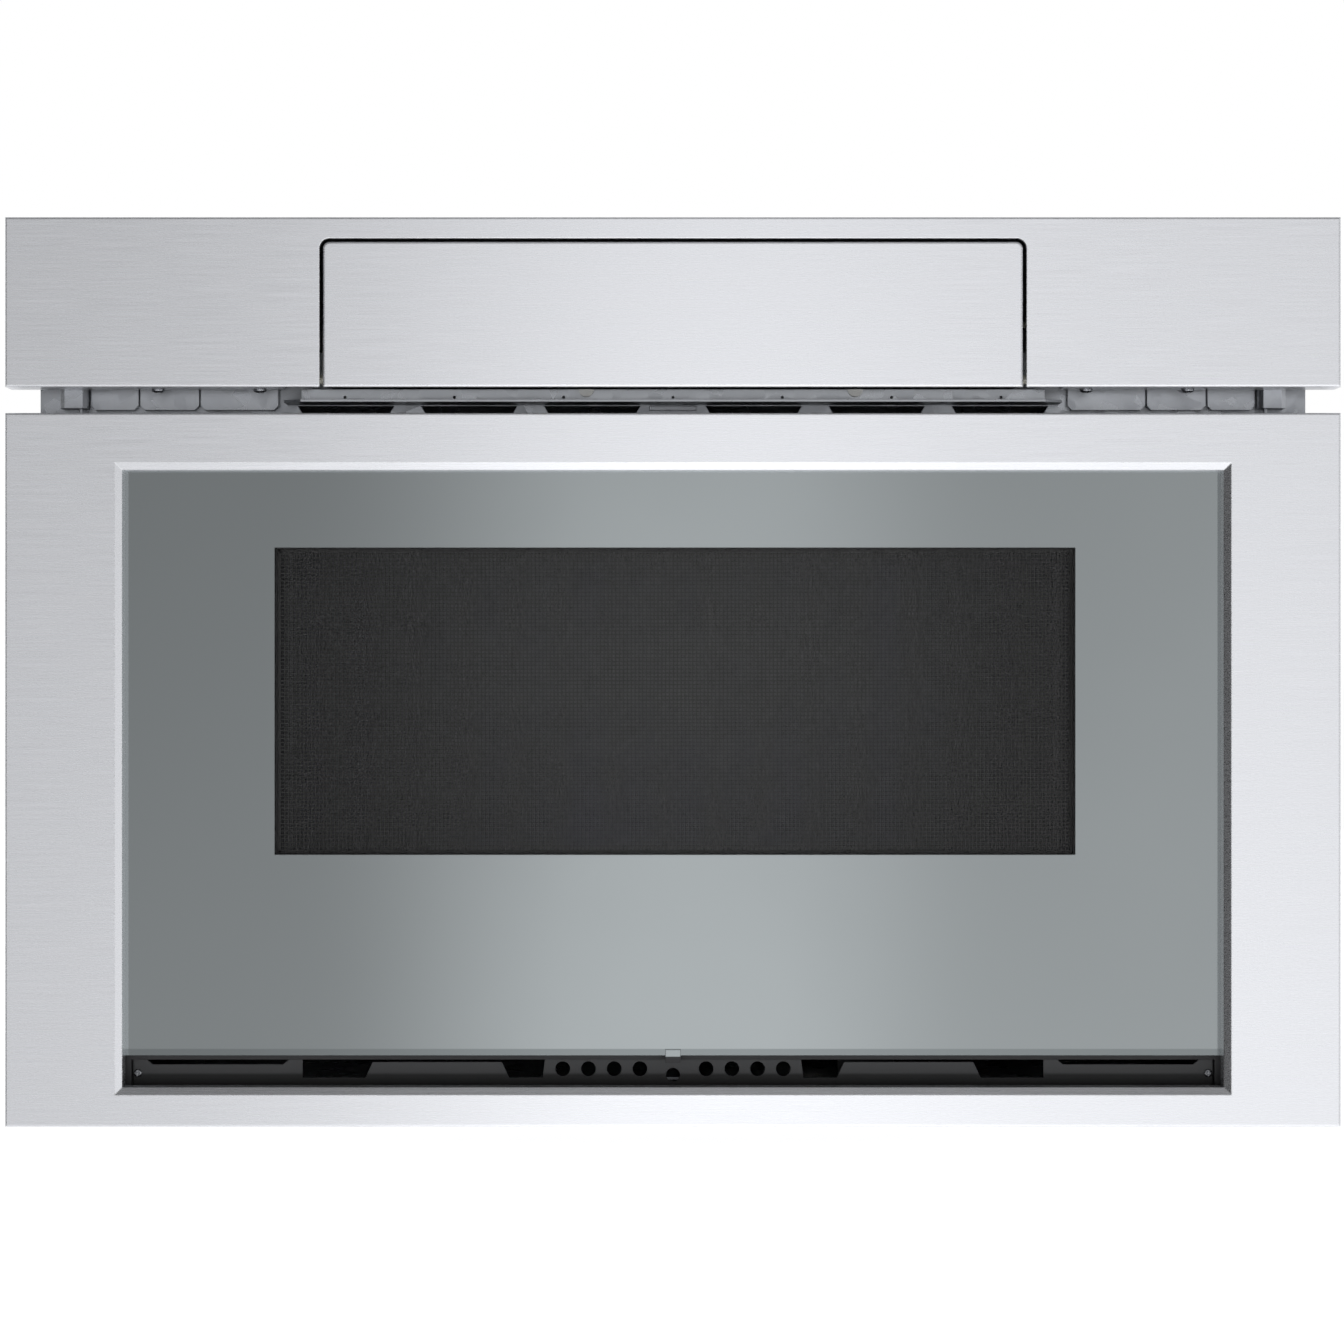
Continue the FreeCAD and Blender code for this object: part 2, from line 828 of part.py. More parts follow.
# ---------------------------------------------------------------- drawer tub and tray
def drawer_tub():
    """The drawn steel tub with rounded upright corners, a turned-out rim and the window cut-out."""
    inner_corner = tub_corner - tub_sheet
    rim_corner = tub_corner + rim_width
    outer = slab_xy(rect(-tub_half, tub_half, tub_front_y, tub_back_y), tub_low, tub_high,
                    [0, 0, tub_corner, tub_corner])
    inner = slab_xy(rect(-tub_half + tub_sheet, tub_half - tub_sheet, tub_front_y + tub_sheet,
                         tub_back_y - tub_sheet),
                    tub_low + tub_sheet, tub_high + through, [0, 0, inner_corner, inner_corner])
    rim = slab_xy(rect(-tub_half - rim_width, tub_half + rim_width, tub_front_y + rim_set,
                       tub_back_y + rim_width),
                  tub_high - tub_sheet, tub_high, [0, 0, rim_corner, rim_corner])
    sight = block(window_left, window_right, tub_front_y - through, tub_front_y + tub_sheet + through,
                  window_low, window_high)
    return without(joined([outer, rim]), [inner, sight])


def ceramic_tray():
    """The glass-ceramic plate on the tub's floor, with a raised lip round it."""
    x = tub_half - tub_sheet - tray_inset
    y0 = tub_front_y + tub_sheet + inner_glass_thickness + tray_inset
    y1 = tub_back_y - tub_sheet - tray_inset
    z0 = tub_low + tub_sheet
    well_z = z0 + tray_thickness - tray_lip
    plate = slab_xy(rect(-x, x, y0, y1), z0, z0 + tray_thickness, [0, 0, tub_corner, tub_corner])
    well = block(-x + tray_inset, x - tray_inset, y0 + tray_inset, y1 - tray_inset, well_z,
                 z0 + 2 * tray_thickness)
    return plate.cut(well)


# ---------------------------------------------------------------- slides and drive
def channel(x_web, x_open, height, y0, y1):
    """A slide rail: a rolled channel with its web at x_web and its flanges towards x_open."""
    z0 = rail_mid_z - height / 2
    z1 = rail_mid_z + height / 2
    low, high = sorted((x_web, x_open))
    inward = math.copysign(rail_sheet, x_open - x_web)
    room_low, room_high = sorted((x_web + inward, x_open + inward))
    return block(low, high, y0, y1, z0, z1).cut(block(room_low, room_high, y0 - through, y1 + through,
                                                      z0 + rail_sheet, z1 - rail_sheet))


def fixed_rail():
    """The outer channel, screwed to the bracket on the base, with its fixing holes."""
    rail = channel(rail_out_x, rail_in_x, rail_height, rail_front_y, rail_front_y + rail_length)
    holes = [slab_yz(polygon(rail_front_y + y, rail_mid_z, rail_hole_radius, few_sides),
                     rail_out_x - 2 * rail_sheet, rail_out_x + through)
             for y in (rail_reserve, rail_length - rail_reserve)]
    return without(rail, holes)


def middle_rail():
    """The middle channel, which runs on balls inside the fixed one."""
    return channel(rail_out_x - rail_nest, rail_in_x + rail_sheet + fit, middle_height, middle_rail_front_y,
                   middle_rail_front_y + rail_length)


def drawer_rail():
    """The inner channel, which carries the drawer; it opens outwards."""
    return channel(rail_in_x, rail_out_x - rail_nest - 2 * rail_sheet, inner_height, door_back_y,
                   carriage_back_y)


def rail_bracket():
    """The folded angle that stands the fixed rail on the base plate, with its lightening windows."""
    y0 = rail_front_y + bracket_inset
    y1 = rail_front_y + rail_length - bracket_inset
    wall = block(rail_out_x, rail_out_x + bracket_sheet, y0, y1, sheet, rail_lift + rail_height)
    foot = block(rail_out_x, wall_inner - fit, y0, y1, sheet, sheet + bracket_sheet)
    middle = (y0 + y1) / 2
    windows = [slab_yz(around(middle + step, rail_mid_z, bracket_window_length / 2,
                              bracket_window_height / 2),
                       rail_out_x - through, rail_out_x + bracket_sheet + through)
               for step in spread(bracket_window_count, rail_length / 4)]
    return without(joined([wall, foot]), windows)


def involute_point(base, radius, turn, side):
    """A point of the involute of the base circle, at a radius, on one flank of the tooth at turn."""
    slant = math.acos(base / radius)
    angle = turn - side * (math.tan(slant) - slant)
    return radius * math.cos(angle), radius * math.sin(angle)


def gear_points(teeth, module, count):
    """Outline of count involute teeth, anticlockwise, each flank as two chords of its involute."""
    pitch = teeth * module / 2
    base = pitch * math.cos(math.radians(pressure_angle))
    tip = pitch + module
    root = pitch - (1 + root_clearance) * module
    slant = math.acos(base / pitch)
    half_tooth = (math.pi * module / 2 - gear_backlash) / 2 / pitch + math.tan(slant) - slant
    points = []
    for i in range(count):
        turn = 2 * math.pi * i / teeth
        for side in SIDES:
            edge = turn + side * half_tooth
            flank = [involute_point(base, r, edge, side) for r in (max(base, root), pitch, tip)]
            if root < base:
                flank.insert(0, (root * math.cos(edge), root * math.sin(edge)))
            points += flank[::-side]
    return points


def turned(points, y, z, phase):
    """Flat points turned by the phase from +Y towards +Z, and moved to the axis at (y, z)."""
    return [(y + u * math.cos(phase) - v * math.sin(phase), z + u * math.sin(phase) + v * math.cos(phase))
            for u, v in points]


def gear_rack():
    """The straight rack under the carriage, its teeth downwards, cut to the drive pinion's pitch."""
    slope = math.tan(math.radians(pressure_angle))
    half_gap = (tooth_pitch / 2 + gear_backlash / 2) / 2
    tip = rack_pitch_z - drive_module
    wide = half_gap + slope * drive_module
    narrow = half_gap - slope * (rack_root_z - rack_pitch_z)
    ahead = rack_spare_teeth
    behind = math.ceil(drawer_travel / tooth_pitch)
    y0 = pinion_y - (ahead + 1) * tooth_pitch + wide
    y1 = pinion_y + (behind + 1) * tooth_pitch - wide
    points = [(y1, tip), (y1, rack_top_z), (y0, rack_top_z), (y0, tip)]
    for i in range(-ahead, behind + 1):
        y = pinion_y + i * tooth_pitch
        points += [(y - wide, tip), (y - narrow, rack_root_z), (y + narrow, rack_root_z), (y + wide, tip)]
    return slab_yz(points, pinion_x, pinion_x + rack_width)


def drawer_carriage():
    """Two cross members and a top-hat beam, which tie the drawer rails to the rack."""
    y0 = door_back_y
    y1 = carriage_back_y
    x0 = pinion_x
    x1 = pinion_x + rack_width
    crown_z = rack_top_z + hat_height
    front = block(-rail_in_x, rail_in_x, y0, y0 + bracket_sheet, rail_lift, crown_z)
    rear = block(-rail_in_x, rail_in_x, y1 - bracket_sheet, y1, rack_top_z, rack_top_z + cross_height)
    beam = block(x0 - hat_brim, x1 + hat_brim, y0, y1, rack_top_z, rack_top_z + bracket_sheet)
    crown = block(x0, x1, y0, y1, rack_top_z, crown_z)
    room = block(x0 + bracket_sheet, x1 - bracket_sheet, y0 + bracket_sheet, y1 - bracket_sheet, rack_top_z,
                 crown_z - bracket_sheet)
    window = block(-rail_in_x + carriage_window_inset, -carriage_window_inset, y0 - through,
                   y0 + bracket_sheet + through, rail_lift + hat_brim, crown_z - hat_brim)
    far_window = block(x1 + carriage_window_inset, rail_in_x - carriage_window_inset, y0 - through,
                       y0 + bracket_sheet + through, rail_lift + hat_brim, crown_z - hat_brim)
    return without(joined([front, rear, beam, crown]), [room, window, far_window])


# ---------------------------------------------------------------- fascia and its hidden control panel
def control_fascia():
    """The stainless fascia: folded edges and the flap's cut-out, hemmed inwards and open below."""
    panel = folded_panel(half_front, fascia_bottom, fascia_top, panel_fold, 0)
    hem_corner = cutout_corner + sheet
    hem = slab_xz(rect(-cutout_half - sheet, cutout_half + sheet, fascia_bottom, cutout_top + sheet),
                  front_y + sheet / 2, front_y + cutout_return, [0, 0, hem_corner, hem_corner])
    hole = slab_xz(rect(-cutout_half, cutout_half, fascia_bottom - through, cutout_top), front_y - through,
                   front_y + cutout_return, [0, 0, cutout_corner, cutout_corner])
    gate = block(-tray_inner_x, tray_inner_x, front_y + sheet, panel_back_y, fascia_bottom - through,
                 fascia_bottom + sheet)
    return without(joined([panel, hem]), [hole, gate])


def fascia_tray():
    """The moulded tray that carries the fascia on the chassis and closes its back."""
    web_back_y = support_front_y - fit
    floor_high = tray_floor_low + tray_wall
    back = block(-tray_half, tray_half, plate_front_y - tray_wall, plate_front_y, tray_back_low, tray_high)
    roof = block(-tray_half, tray_half, tray_front_y, plate_front_y, tray_high - tray_wall, tray_high)
    half = [block(tray_half - tray_wall, tray_half, tray_front_y, plate_front_y, tray_floor_low, tray_high),
            block(tray_inner_x, tray_web_x, tray_front_y, web_back_y, tray_floor_low, floor_high)]
    for x in (tray_inner_x, tray_web_x - tray_wall):
        half.append(block(x, x + tray_wall, tray_front_y, web_back_y, tray_floor_low, tray_high))
        half.append(block(x, x + tray_wall, web_back_y, plate_front_y, tray_back_low, tray_high))
    return joined([back, roof] + half + [mirrored(shape) for shape in half])


def fascia_support():
    """The pressed bracket between chassis and tray, with three raised pads."""
    plate = block(pad_edges[0], pad_edges[-1], plate_front_y - sheet, plate_front_y, pad_low + pad_clip,
                  tray_back_low)
    pads = []
    hollows = []
    for low, high in zip(pad_edges, pad_edges[1:]):
        x0 = low + pad_split / 2
        x1 = high - pad_split / 2
        pads.append(slab_xz([(x0 + pad_clip, pad_low), (x1 - pad_clip, pad_low), (x1, pad_low + pad_clip),
                             (x1, tray_back_low), (x0, tray_back_low), (x0, pad_low + pad_clip)],
                            support_front_y, plate_front_y))
        hollows.append(block(x0 + sheet, x1 - sheet, support_front_y + sheet, plate_front_y,
                             pad_low + pad_clip,
                             tray_back_low))
    return without(joined([plate] + pads), hollows)


def end_block():
    """The bent bracket at the end of the flange, with the thin bright guide pin pressed into it."""
    outer = slab_xy([(block_in_x, plate_front_y), (block_in_x, block_front_y + block_clip),
                     (block_in_x + block_clip, block_front_y), (block_out_x - block_clip, block_front_y),
                     (block_out_x, block_front_y + block_clip), (block_out_x, plate_front_y)],
                    block_low, tray_back_low)
    inner = block(block_in_x + bracket_sheet, block_out_x - bracket_sheet, block_front_y + bracket_sheet,
                  plate_front_y, block_low + 2 * bracket_sheet, tray_back_low)
    pin = slab_xy(polygon(half_front - guide_pin_inset, guide_pin_y, guide_pin_radius, few_sides),
                  door_high + guide_pin_gap, block_low + guide_pin_reach)
    return joined([outer.cut(inner), pin])


def vent_lip_plate():
    """The folded plate over the exhaust vents, with tapered ends and a row of small holes."""
    lip = slab_xy([(-lip_half, plate_front_y), (-lip_half, lip_front_y + lip_taper),
                   (-lip_half + lip_taper, lip_front_y), (lip_half - lip_taper, lip_front_y),
                   (lip_half, lip_front_y + lip_taper), (lip_half, plate_front_y)], lip_high - sheet,
                   lip_high)
    upstand = block(-lip_half + lip_taper, lip_half - lip_taper, upstand_y, upstand_y + sheet, lip_high,
                    fascia_bottom - upstand_gap)
    holes = [slab_xz(polygon(x, lip_high + lip_hole_lift, lip_hole_radius, hex_sides), upstand_y - through,
                     upstand_y + sheet + through)
             for x in spread(lip_hole_count, lip_hole_pitch)]
    return without(joined([lip, upstand]), holes)


def flap_buffer(x):
    """One half-round buffer on the upstand, under the flap."""
    top = fascia_bottom - buffer_gap
    turns = [math.pi * i / few_sides for i in range(few_sides + 1)]
    points = [(x - buffer_radius * math.cos(turn), top - buffer_radius * math.sin(turn)) for turn in turns]
    return slab_xz(points, upstand_y - buffer_depth, upstand_y)


def flap_panel():
    """The stainless flap that hides the controls when it is closed."""
    panel = folded_panel(half_flap, fascia_bottom, flap_top, flap_return,
                         [0, 0, flap_corner, flap_corner])
    foot = block(-half_flap, half_flap, front_y + sheet, module_front_y, fascia_bottom - through,
                 fascia_bottom + sheet)
    return panel.cut(foot)


def control_glass():
    """The dark touch glass on top of the module."""
    return block(-module_half, module_half, module_front_y, module_back_y, glass_bottom, glass_top)


def control_housing():
    """The moulded box under the glass: two cheeks, a floor, a back wall and a front wall."""
    flat_y = front_y + module_flat
    floor_z = module_low + module_wall
    whole = slab_yz([(module_front_y, module_low), (flat_y, module_low), (module_back_y,
                                                                          module_low + module_slope),
                     (module_back_y, glass_bottom), (module_front_y, glass_bottom)], -module_half,
                     module_half)
    room = slab_yz([(module_front_y + module_wall, floor_z), (flat_y - module_wall / 2, floor_z),
                    (module_back_y - module_wall, module_low + module_slope + module_wall / 2),
                    (module_back_y - module_wall, glass_bottom), (module_front_y + module_wall,
                                                                  glass_bottom)],
                   -module_half + module_wall, module_half - module_wall)
    front_land = block(-module_half, module_half, front_y + sheet, module_front_y, module_low + board_drop,
                       board_high)
    return without(joined([whole, front_land]), [room])


def control_board():
    """The touch and display board under the control glass, with its connector and display block."""
    x = module_half - module_wall - board_inset
    y0 = module_front_y + module_wall + board_inset / 2
    y1 = module_back_y - module_wall - board_inset / 2
    plate = block(-x, x, y0, y1, board_low_face, board_high)
    display = block(-display_half, display_half, y0 + board_drop, y1 - board_drop, board_high, glass_bottom)
    plug = block(plug_x - plug_half, plug_x + plug_half, y0 + board_inset, y0 + board_inset + chip_size,
                 board_low_face - plug_height, board_low_face)
    chips = [block(x0, x0 + chip_size, y0 + chip_size, y0 + 2 * chip_size, board_low_face - chip_height,
                   board_low_face)
             for x0 in chip_places]
    return joined([plate, display, plug] + chips)


def flap_pin(x0, x1):
    """A pin of the flap's pivot between two places along X."""
    return rod_x(x0, x1, flap_pivot_y, flap_pivot_z, flap_pin_radius)


def flap_hub(x0, x1):
    """The boss round a pin of the flap's pivot."""
    return slab_yz(polygon(flap_pivot_y, flap_pivot_z, flap_pin_radius + flap_hub_wall, few_sides), x0, x1)


def sector_gear():
    """The toothed sector on the module's right cheek, with its hub and pivot pin."""
    tooth_angle = 360.0 / sector_teeth
    behind = math.ceil(flap_open_angle / tooth_angle) + sector_spare_teeth
    teeth = gear_points(sector_teeth, flap_gear_module, behind + sector_spare_teeth + 1)
    phase = math.radians(flap_pinion_angle - behind * tooth_angle)
    sector = slab_yz(turned([(0.0, 0.0)] + teeth, flap_pivot_y, flap_pivot_z, phase), sector_x0, sector_x1)
    pin = flap_pin(sector_x1 - flap_pin_overlap, bearing_x1 + flap_pin_stickout)
    return joined([sector, flap_hub(sector_x0, sector_x1), pin])


def hinge_arm():
    """The left pivot: a hub and a leg on the module's left cheek, with the pin."""
    hub_radius = flap_pin_radius + flap_hub_wall
    leg = slab_yz([(flap_pivot_y - hub_radius, flap_pivot_z), (flap_pivot_y + hub_radius, flap_pivot_z),
                   (flap_pivot_y + flap_arm_tip_half, flap_pivot_z + flap_arm_length),
                   (flap_pivot_y - flap_arm_tip_half, flap_pivot_z + flap_arm_length)], -sector_x1,
                   -sector_x0)
    pin = flap_pin(-bearing_x1 - flap_pin_stickout, -sector_x1 + flap_pin_overlap)
    return joined([flap_hub(-sector_x1, -sector_x0), leg, pin])


def flap_bearing():
    """The bearing plate behind the fascia, bored for the flap's pin."""
    low = fascia_bottom + bearing_lift
    back_y = flap_pivot_y + bearing_back
    plate = slab_yz([(tray_front_y, low), (back_y, low), (back_y, low + bearing_rise),
                     (tray_front_y, low + bearing_height)], bearing_x0, bearing_x1)
    foot = block(bearing_x1, tray_inner_x, tray_front_y, tray_front_y + bearing_foot_sheet,
                 low + bearing_foot_low, low + bearing_height)
    bore = rod_x(bearing_x0 - through, bearing_x1 + through, flap_pivot_y, flap_pivot_z,
                 flap_pin_radius + pin_clearance)
    return without(joined([plate, foot]), [bore])


def flap_pinion():
    """The small pinion that turns the sector, with its shaft."""
    phase = math.radians(flap_pinion_angle + 180 + 180.0 / flap_pinion_teeth)
    x0 = sector_x0 + flap_pinion_side_gap
    teeth = gear_points(flap_pinion_teeth, flap_gear_module, flap_pinion_teeth)
    gear = slab_yz(turned(teeth, flap_pinion_y, flap_pinion_z, phase), x0, sector_x1 - flap_pinion_side_gap)
    shaft = slab_yz(polygon(flap_pinion_y, flap_pinion_z, flap_shaft_radius, few_sides), x0,
                    flap_motor_x0 + flap_shaft_reach)
    return joined([gear, shaft])


def flap_motor():
    """The geared stepper motor that tilts the flap, on the tray behind the fascia."""
    can = slab_yz(polygon(flap_pinion_y, flap_pinion_z, flap_motor_radius, can_sides), flap_motor_x0,
                  tray_inner_x)
    plate = block(flap_motor_x0, flap_motor_x0 + bracket_sheet, flap_pinion_y - flap_motor_radius,
                  plate_front_y - tray_wall, flap_pinion_z - flap_motor_radius,
                  flap_pinion_z + flap_motor_radius)
    bore = slab_yz(bored(flap_pinion_y, flap_pinion_z, flap_shaft_radius + pin_clearance, few_sides),
                   flap_motor_x0 - through, flap_motor_x0 + flap_shaft_reach + through)
    return joined([can, plate]).cut(bore)


# ---------------------------------------------------------------- chassis sheet metal
def vent_points(x):
    """The outline of one vent: narrower below, with its lower corners cut off."""
    low = vent_high - vent_height
    half_top = vent_top_width / 2
    half_low = vent_bottom_width / 2
    lean = (half_top - half_low) / vent_height * vent_clip
    return [(x - half_top, vent_high), (x + half_top, vent_high), (x + half_low + lean, low + vent_clip),
            (x + half_low - vent_clip, low), (x - half_low + vent_clip, low), (x - half_low - lean,
                                                                               low + vent_clip)]


def front_frame():
    """The chassis front plate with its flange: tub mouth, slide opening, vents, hook and screw holes."""
    plate = block(-half_flange, half_flange, plate_front_y, 0, sheet, body_height)
    y0 = plate_front_y - through
    slide_half = half_body - slide_opening_inset
    cuts = [slab_xz(clipped(-cavity_half, cavity_half, cavity_floor_height, cavity_ceiling, cavity_corner),
                    y0,
                    through),
            block(-slide_half, slide_half, y0, through, sheet - through,
                  rail_lift + rail_height + slide_opening_gap)]
    for side in SIDES:
        cuts += [slab_xz(vent_points(side * (vent_start + i * vent_pitch)), y0, through)
                 for i in range(vent_count)]
        cuts.append(slab_xz(around(side * hook_x, hook_lift, hook_slot_width / 2, hook_slot_height / 2), y0,
                            through))
        cuts += [rod_y(y0, through, side * (half_body + flange_width / 2), screw_row_height + z,
                       screw_hole_radius)
                 for z in spread(2, screw_spacing_z)]
    centre_pad = block(-centre_pad_half, centre_pad_half, plate_front_y - sheet, plate_front_y,
                       vent_high - centre_pad_height, vent_high)
    return without(joined([plate, centre_pad]), cuts)


def base_plate():
    """The bottom of the chassis, with rows of intake slots under the electronics."""
    plate = block(-half_body, half_body, plate_front_y, body_depth, 0, sheet)
    slots = [slab_xy(around(x, body_depth - air_slot_inset + y, air_slot_length / 2, air_slot_width / 2),
                     -through,
                     sheet + through)
             for x in spread(air_slot_columns, air_slot_step) for y in spread(2, air_slot_pitch)]
    return without(plate, slots)


def side_panel():
    """A side of the chassis, with a row of air slots low at the rear."""
    panel = block(wall_inner, half_body, 0, body_depth, sheet, cover_low)
    slots = [slab_yz(around(body_depth - air_slot_inset, inlet_z + z, air_slot_length / 2,
                            air_slot_width / 2),
                     wall_inner - through, half_body + through)
             for z in spread(air_slot_columns, air_slot_pitch)]
    return without(panel, slots)


def top_cover():
    """The flat lid of the chassis."""
    return block(-half_body, half_body, 0, body_depth, cover_low, body_height)


def rear_panel():
    """The back of the chassis, with the fan's louvre slots and the mains inlet hole."""
    panel = block(-wall_inner, wall_inner, bay_back_y, body_depth, sheet, cover_low)
    slots = [slab_xz(around(fan_x + x, fan_z + z, air_slot_length / 2, air_slot_width / 2),
                     bay_back_y - through,
                     body_depth + through)
             for x in spread(2, air_slot_step) for z in spread(air_slot_rows, air_slot_pitch)]
    return without(panel, slots + [rod_y(bay_back_y - through, body_depth + through, inlet_x, inlet_z,
                                         inlet_radius + fit)])


def mains_inlet_gland():
    """The moulded gland in the rear panel where the mains lead would enter; it has no lead."""
    y0 = bay_back_y - inlet_nut_depth
    body = rod_y(y0, body_depth, inlet_x, inlet_z, inlet_radius)
    nut = slab_xz(polygon(inlet_x, inlet_z, inlet_radius + inlet_nut_wall, hex_sides), y0, bay_back_y)
    bore = rod_y(y0 - through, body_depth + through, inlet_x, inlet_z, inlet_bore_radius)
    return without(joined([body, nut]), [bore])


def oven_cavity():
    """The welded steel oven cavity, open in front, with the wave inlet in its ceiling."""
    outer = slab_xz(clipped(-cavity_out_half, cavity_out_half, cavity_floor_height - cavity_sheet,
                            cavity_roof,
                            cavity_corner + cavity_sheet / 2), 0, cavity_rear)
    inner = slab_xz(clipped(-cavity_half, cavity_half, cavity_floor_height, cavity_ceiling, cavity_corner), 0,
                    cavity_back_y)
    inlet = slab_xy(around(0, stirrer_y, stirrer_hole_half, stirrer_hole_half), cavity_ceiling - through,
                    cavity_roof + through)
    lamp_holes = [slab_yz(around(lamp_y + y, lamp_z + z, lamp_hole_size / 2, lamp_hole_size / 2),
                          cavity_half - through, cavity_out_half + through)
                  for y in spread(lamp_hole_rows, lamp_hole_pitch) for z in spread(lamp_hole_rows,
                                                                                   lamp_hole_pitch)]
    outlet = [slab_xy(around(x, outlet_y, air_slot_length / 2, air_slot_width / 2), cavity_ceiling - through,
                      cavity_roof + through)
              for x in spread(air_slot_columns, air_slot_step)]
    return without(outer, [inner, inlet] + lamp_holes + outlet)


# ---------------------------------------------------------------- wave inlet
def stirrer_cover():
    """The microwave-clear plate that closes the wave inlet from inside the cavity."""
    half = stirrer_hole_half + stirrer_cover_lap
    return slab_xy(around(0, stirrer_y, half, half), cavity_ceiling - stirrer_cover_thickness, cavity_ceiling)


def guide_plan(inset):
    """The plan of the stirrer chamber and its duct, drawn in by the inset."""
    near = stirrer_y - chamber_half + inset
    far = stirrer_y + chamber_half - inset
    side = chamber_half - inset
    duct = guide_half - inset
    rear = guide_rear_y - inset
    return [(-side, near), (side, near), (side, far - guide_shoulder), (duct, far + guide_shoulder), (duct,
                                                                                                      rear),
            (-duct, rear), (-duct, far + guide_shoulder), (-side, far - guide_shoulder)]


def waveguide():
    """The stirrer chamber and the duct that leads the waves to it from the magnetron."""
    shell = slab_xy(guide_plan(0), cavity_roof, guide_roof)
    room = slab_xy(guide_plan(cavity_sheet), cavity_roof, guide_roof - cavity_sheet)
    floor = block(-guide_half, guide_half, cavity_rear, guide_rear_y, cavity_roof, cavity_roof + cavity_sheet)
    feed = slab_xy(bored(0, bay_y, antenna_radius + 2 * antenna_gap, few_sides), cavity_roof - through,
                   cavity_roof + cavity_sheet + through)
    motor_hole = slab_xy(bored(0, stirrer_y, stirrer_shaft_radius + antenna_gap, few_sides),
                         guide_roof - cavity_sheet - through, guide_roof + through)
    return without(joined([shell.cut(room), floor]), [feed, motor_hole])


def stirrer():
    """The wave stirrer: three bent paddles on a hub, hung from its motor's shaft."""
    hub = slab_xy(polygon(0, stirrer_y, stirrer_hub_radius, few_sides), stirrer_blade_z - 2 * sheet,
                  stirrer_blade_z + 2 * sheet)
    shaft = slab_xy(polygon(0, stirrer_y, stirrer_shaft_radius, few_sides), stirrer_blade_z,
                    guide_roof + stirrer_motor_height / 2)
    flat = slab_xy([(stirrer_shaft_radius, stirrer_y - paddle_root_half),
                    (paddle_length, stirrer_y - paddle_tip_half), (paddle_length,
                                                                   stirrer_y + paddle_tip_half),
                    (stirrer_shaft_radius, stirrer_y + paddle_root_half)], stirrer_blade_z,
                    stirrer_blade_z + sheet)
    lug = block(paddle_length - 2 * paddle_lug, paddle_length - paddle_lug / 2, stirrer_y - sheet / 2,
                stirrer_y + sheet / 2, stirrer_blade_z, stirrer_blade_z + paddle_lug)
    paddle = joined([flat, lug])
    paddles = []
    for i in range(paddle_count):
        copy = paddle.copy()
        copy.rotate(V(0, stirrer_y, 0), AXIS_Z, 360.0 / paddle_count * i)
        paddles.append(copy)
    return joined([hub, shaft] + paddles)


def stirrer_motor():
    """The flat synchronous motor on top of the stirrer chamber."""
    can = slab_xy(polygon(0, stirrer_y, stirrer_motor_radius, can_sides), guide_roof,
                  guide_roof + stirrer_motor_height)
    ear = slab_xy(around(0, stirrer_y, stirrer_ear_half, stirrer_ear_width / 2), guide_roof,
                  guide_roof + bracket_sheet)
    bore = slab_xy(bored(0, stirrer_y, stirrer_shaft_radius + pin_clearance, few_sides), guide_roof - through,
                   guide_roof + stirrer_motor_height / 2 + through)
    return joined([can, ear]).cut(bore)


# ---------------------------------------------------------------- power unit in the bay behind the cavity
def magnetron_yoke():
    """The magnetron's steel frame, open on two sides for the cooling air, with its filter box below."""
    frame = block(-yoke_half_x, yoke_half_x, bay_y - yoke_half_y, bay_y + yoke_half_y, yoke_low, yoke_high)
    tunnel = block(-yoke_half_x - through, yoke_half_x + through, bay_y - yoke_half_y + yoke_wall,
                   bay_y + yoke_half_y - yoke_wall, yoke_low + yoke_wall, yoke_high - yoke_wall)
    filter_box = slab_xy(around(0, bay_y, yoke_half_x - filter_box_inset, yoke_half_y - filter_box_inset),
                         yoke_low - filter_box_height, yoke_low)
    top_hole = slab_xy(bored(0, bay_y, antenna_radius + antenna_gap, few_sides),
                       yoke_high - yoke_wall - through,
                       yoke_high + through)
    return without(joined([frame, filter_box]), [tunnel, top_hole])


def magnetron_core():
    """The anode with its stack of cooling fins, two ring magnets and the capped antenna."""
    low = yoke_low + yoke_wall
    high = yoke_high - yoke_wall
    magnet = polygon(0, bay_y, magnet_radius, few_sides)
    pieces = [slab_xy(polygon(0, bay_y, anode_radius, few_sides), low, high),
              slab_xy(magnet, low, low + magnet_height), slab_xy(magnet, high - magnet_height, high),
              slab_xy(polygon(0, bay_y, antenna_radius, few_sides), high, cavity_roof + antenna_lift)]
    for step in spread(fin_count, fin_pitch):
        z = (low + high) / 2 + step
        pieces.append(slab_xy(around(0, bay_y, yoke_half_x - yoke_wall, yoke_half_y - yoke_wall), z,
                              z + fin_sheet))
    return joined(pieces)


def taper(near, far):
    """A solid between two rings of four points, with flat sides."""
    rings = [near, far]
    rings += [[near[i - 1], near[i], far[i], far[i - 1]] for i in range(len(near))]
    faces = [Part.Face(Part.makePolygon(ring + ring[:1])) for ring in rings]
    return Part.Solid(Part.Shell(faces))


def air_duct():
    """The tapered duct from the fan to the magnetron's fins."""
    wide = fan_radius + fan_wall / 2
    middle = (yoke_low + yoke_high) / 2

    def shell(inset):
        near = around(bay_y, fan_z, wide - inset, wide - inset)
        far = around(bay_y, middle, yoke_half_y - yoke_wall - inset, yoke_height / 2 - 2 * yoke_wall - inset)
        return taper([V(fan_back_x, y, z) for y, z in near], [V(-yoke_half_x, y, z) for y, z in far])

    return shell(0).cut(shell(duct_wall))


